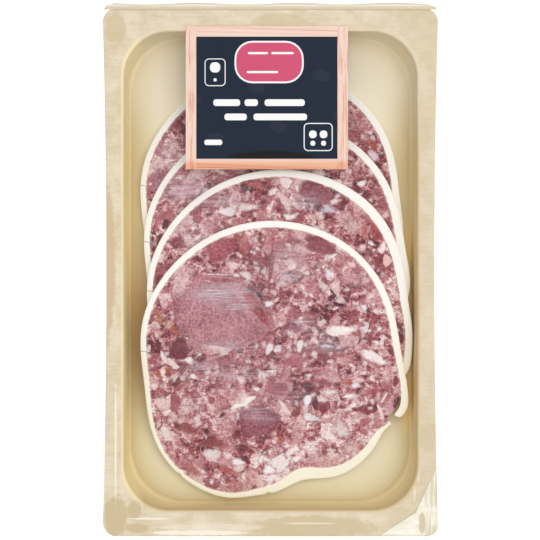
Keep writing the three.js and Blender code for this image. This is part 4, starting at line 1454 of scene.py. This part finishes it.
def film_piece():
    bm = bmesh.new()
    bmesh.ops.create_grid(bm, x_segments=170, y_segments=270, size=0.5)
    verts = list(bm.verts)
    x, y = plan(verts)
    half_x = (FILM_HIGH[0] - FILM_LOW[0]) / 2
    half_y = (FILM_HIGH[1] - FILM_LOW[1]) / 2
    corner = 5.0
    py = 2 * y * half_y
    # Rows near the ends pull in to round the corners, and the long sides bow in.
    into = np.clip(np.abs(py) - (half_y - corner), 0, corner)
    pull = corner - np.sqrt(np.clip(corner ** 2 - into ** 2, 0, None))
    bow = WAIST_BOW * (1 - np.clip(np.abs(py) / (half_y - corner), 0, 1) ** 2)
    px = 2 * x * (half_x - bow - pull)
    py = py + np.where(py > half_y - 1, 0.35 * np.sin(px / 7.0) - 0.35, 0)
    beyond = (px - py) / math.sqrt(2) - PEEL_START
    lift = np.clip(beyond / PEEL_REACH, 0, 1) ** 1.5 * PEEL_LIFT
    over = between(HOLLOW_WIDTH / 2 - np.abs(px), 0, 12) * between(
        HOLLOW_LENGTH / 2 - np.abs(py - HOLLOW_Y), 0, 12)
    ripple = 0.06 * np.sin(px / 5.0 + py / 9.0) + 0.05 * np.sin(py / 3.1 - px / 17.0)
    place_verts(verts, px, py, FILM_LOW[2] + 0.02 + lift + over * (0.1 + ripple))
    haze_and_sheen = np.zeros_like(px)
    for cling_x, cling_y, wide, tall, strength in CLINGS_WITH_SHEEN:
        away = ((px - cling_x) / wide) ** 2 + ((py - cling_y) / tall) ** 2
        haze_and_sheen += strength * np.exp(-away)
    # The loose corner is cut off by two lines that meet.
    peeled = np.maximum(0.540 * px - 0.842 * py - 126.6, 0.911 * px - 0.412 * py - 104.0)
    past_tray = py - TRAY_HIGH[1]
    layers = {name: bm.verts.layers.float.new(name) for name in ("haze_and_sheen", "peeled", "past_tray")}
    values = zip(bm.verts, haze_and_sheen.tolist(), peeled.tolist(), past_tray.tolist())
    for vert, cling, loose, past in values:
        vert[layers["haze_and_sheen"]] = cling
        vert[layers["peeled"]] = loose
        vert[layers["past_tray"]] = past
    piece = to_piece(bm, "film_sheet", film_material, ["lid_film"])
    sheet = piece.modifiers.new("film", "SOLIDIFY")
    sheet.thickness = 0.06 * MM
    sheet.offset = 1.0
    return piece


film_piece()

# %% [markdown]
# ## The label
#
# The label is thin paper on the film: a slate panel in a border of light boards. Its print is
# only generic shapes. The paper is one low slab, and each printed shape is a thinner slab a
# hair above it, which keeps the edges crisp at any size of picture.

# %% Label materials
def board_surface(recipe):
    place = recipe.millimetres()
    across = recipe.named("across")
    along = recipe.scale(place, (0.05, 0.05, 1.0))
    stretch = recipe.add("CombineXYZ", {"X": recipe.math("MULTIPLY", across, 1.6)})
    grain = recipe.noise(recipe.plus(along, stretch), 1.0, 4.0, 0.7)
    lines = recipe.step(grain, 0.5, 0.64)
    tone = recipe.mix(recipe.noise(place, 0.05), linear(246, 220, 206), linear(240, 204, 188))
    color = recipe.mix(recipe.math("MULTIPLY", lines, 0.75), tone, linear(218, 142, 118))
    low = recipe.step(recipe.add("SeparateXYZ", {0: place}, output=1), 47.0, 50.0, 1.0, 0.0)
    color = recipe.mix(low, color, recipe.mix(lines, linear(238, 180, 148), linear(196, 104, 66)))
    return {"Base Color": color}


def slate_surface(recipe):
    place = recipe.millimetres()
    dust = recipe.noise(place, 0.12, 5.0, 0.7)
    color = recipe.mix(dust, linear(7, 23, 43), linear(14, 33, 56))
    arc = recipe.spot(place, (0.4, 50.0), (20.0, 3.4), 0.0)
    color = recipe.mix(arc, color, linear(1, 2, 6))
    return {"Base Color": color}


def ink_material(name, color, other):
    return new_material(name, lambda recipe: {"Base Color": recipe.mix(
        recipe.noise(recipe.millimetres(), 0.6, 3.0), linear(*color), linear(*other))},
        Roughness=0.5)


board_material = new_material("printed boards", board_surface, Roughness=0.5,
                              Specular_IOR_Level=0.2)
slate_material = new_material("printed slate", slate_surface, Roughness=0.5,
                              Specular_IOR_Level=0.2)
white_ink = ink_material("white ink", (244, 242, 240), (250, 249, 247))
berry_ink = ink_material("berry ink", (202, 58, 102), (212, 70, 112))

# %% Label pieces
LABEL_X = (LABEL_LOW[0] + LABEL_HIGH[0]) / 2
LABEL_Y = (LABEL_LOW[1] + LABEL_HIGH[1]) / 2
LABEL_WIDTH = LABEL_HIGH[0] - LABEL_LOW[0]
LABEL_LENGTH = LABEL_HIGH[1] - LABEL_LOW[1]
PAPER_LOW = LABEL_LOW[2] - 0.45
PAPER = 0.12
INK = 0.03
BORDER = 4.7


def slab(bm, x, y, width, length, low, thick, corner=0.0, turn=0.0):
    """A flat slab round x, y on the label, with rounded corners if asked. Returns its verts."""
    made = bmesh.ops.create_grid(bm, x_segments=1, y_segments=1, size=0.5)
    verts = made["verts"]
    bmesh.ops.scale(bm, vec=(width, length, 1.0), verts=verts)
    if corner:
        edges = {edge for vert in verts for edge in vert.link_edges}
        made = bmesh.ops.bevel(bm, geom=verts, offset=corner, offset_type="OFFSET", segments=6,
                               profile=0.5, affect="VERTICES", material=-1)
        verts = made["verts"]
    faces = list({face for vert in verts for face in vert.link_faces})
    made = bmesh.ops.extrude_face_region(bm, geom=faces)
    top = [item for item in made["geom"] if isinstance(item, bmesh.types.BMVert)]
    bmesh.ops.translate(bm, vec=(0, 0, thick), verts=top)
    both = list(verts) + top
    c, s = math.cos(math.radians(turn)), math.sin(math.radians(turn))
    for vert in both:
        vx, vy = vert.co.x, vert.co.y
        vert.co.x, vert.co.y = x + vx * c - vy * s, y + vx * s + vy * c
    bmesh.ops.translate(bm, vec=(0, 0, low), verts=both)
    return both


def label_boards():
    """Four printed boards round the panel. Each knows the distance across its grain."""
    bm = bmesh.new()
    layer = bm.verts.layers.float.new("across")
    half_w, half_l = LABEL_WIDTH / 2, LABEL_LENGTH / 2
    middle = BORDER / 2
    boards = [(-half_w + middle, 0.0, BORDER, LABEL_LENGTH, 0), (half_w - middle, 0.0, BORDER,
               LABEL_LENGTH, 0), (0.0, half_l - middle, LABEL_WIDTH - 2 * BORDER, BORDER, 1),
              (0.0, -half_l + middle, LABEL_WIDTH - 2 * BORDER, BORDER, 1)]
    for number, (x, y, width, length, level) in enumerate(boards):
        verts = slab(bm, LABEL_X + x, LABEL_Y + y, width, length, PAPER_LOW, PAPER)
        for vert in verts:
            vert[layer] = (vert.co.y if level else vert.co.x) + 40 * number
    bmesh.ops.recalc_face_normals(bm, faces=bm.faces)
    return to_piece(bm, "label_boards", board_material, ["label"],
                    smooth=False)


def label_panel():
    bm = bmesh.new()
    slab(bm, LABEL_X, LABEL_Y, LABEL_WIDTH - 2 * BORDER, LABEL_LENGTH - 2 * BORDER, PAPER_LOW,
         PAPER)
    bmesh.ops.recalc_face_normals(bm, faces=bm.faces)
    return to_piece(bm, "label_panel", slate_material, smooth=False)


def label_shapes():
    """Plain printed shapes: a berry field with a white edge, word bars, a ring and a box."""
    ink_low = PAPER_LOW + PAPER
    white = bmesh.new()
    berry = bmesh.new()
    slab(white, LABEL_X + 1.0, LABEL_Y + 16.0, 31.0, 19.0, ink_low, INK, corner=8.0)
    slab(berry, LABEL_X + 1.0, LABEL_Y + 16.0, 29.4, 17.4, ink_low + INK, INK, corner=7.2)
    for x, y, width in ((-4.0, 20.0, 9.0), (7.0, 20.0, 10.0), (-2.0, 11.5, 14.0)):
        slab(white, LABEL_X + x, LABEL_Y + y, width, 1.0, ink_low + 2 * INK, INK, corner=0.45)
    for x, y, width in ((-18.0, -2.2, 12.0), (-7.0, -2.2, 6.0), (8.0, -2.2, 18.0),
                        (-14.0, -8.6, 10.0), (6.0, -8.6, 24.0)):
        slab(white, LABEL_X + x, LABEL_Y + y, width, 3.0, ink_low, INK, corner=1.2)
    slab(white, LABEL_X - 24.0, LABEL_Y - 20.0, 8.0, 2.4, ink_low, INK, corner=1.0)
    slate = bmesh.new()
    for x, y, width, length, line in ((23.0, -17.6, 13.0, 12.6, 0.45), (-23.2, 11.4, 9.4, 12.4,
                                                                       0.4)):
        slab(white, LABEL_X + x, LABEL_Y + y, width, length, ink_low, INK, corner=2.0)
        slab(slate, LABEL_X + x, LABEL_Y + y, width - 2 * line, length - 2 * line,
             ink_low + INK, INK, corner=2.0 - line)
    for x, y, size in ((20.6, -16.4, 3.4), (25.4, -16.4, 3.4), (20.6, -20.4, 2.2),
                       (25.4, -20.4, 2.2), (-23.2, 13.6, 4.6), (-23.2, 8.0, 1.4)):
        slab(white, LABEL_X + x, LABEL_Y + y, size, size, ink_low + 2 * INK, INK,
             corner=0.42 * size)
    for pieces, name, material in ((white, "label_white", white_ink),
                                   (slate, "label_slate", slate_material),
                                   (berry, "label_berry", berry_ink)):
        bmesh.ops.recalc_face_normals(pieces, faces=pieces.faces)
        to_piece(pieces, name, material, smooth=False)


label_boards()
label_panel()
label_shapes()
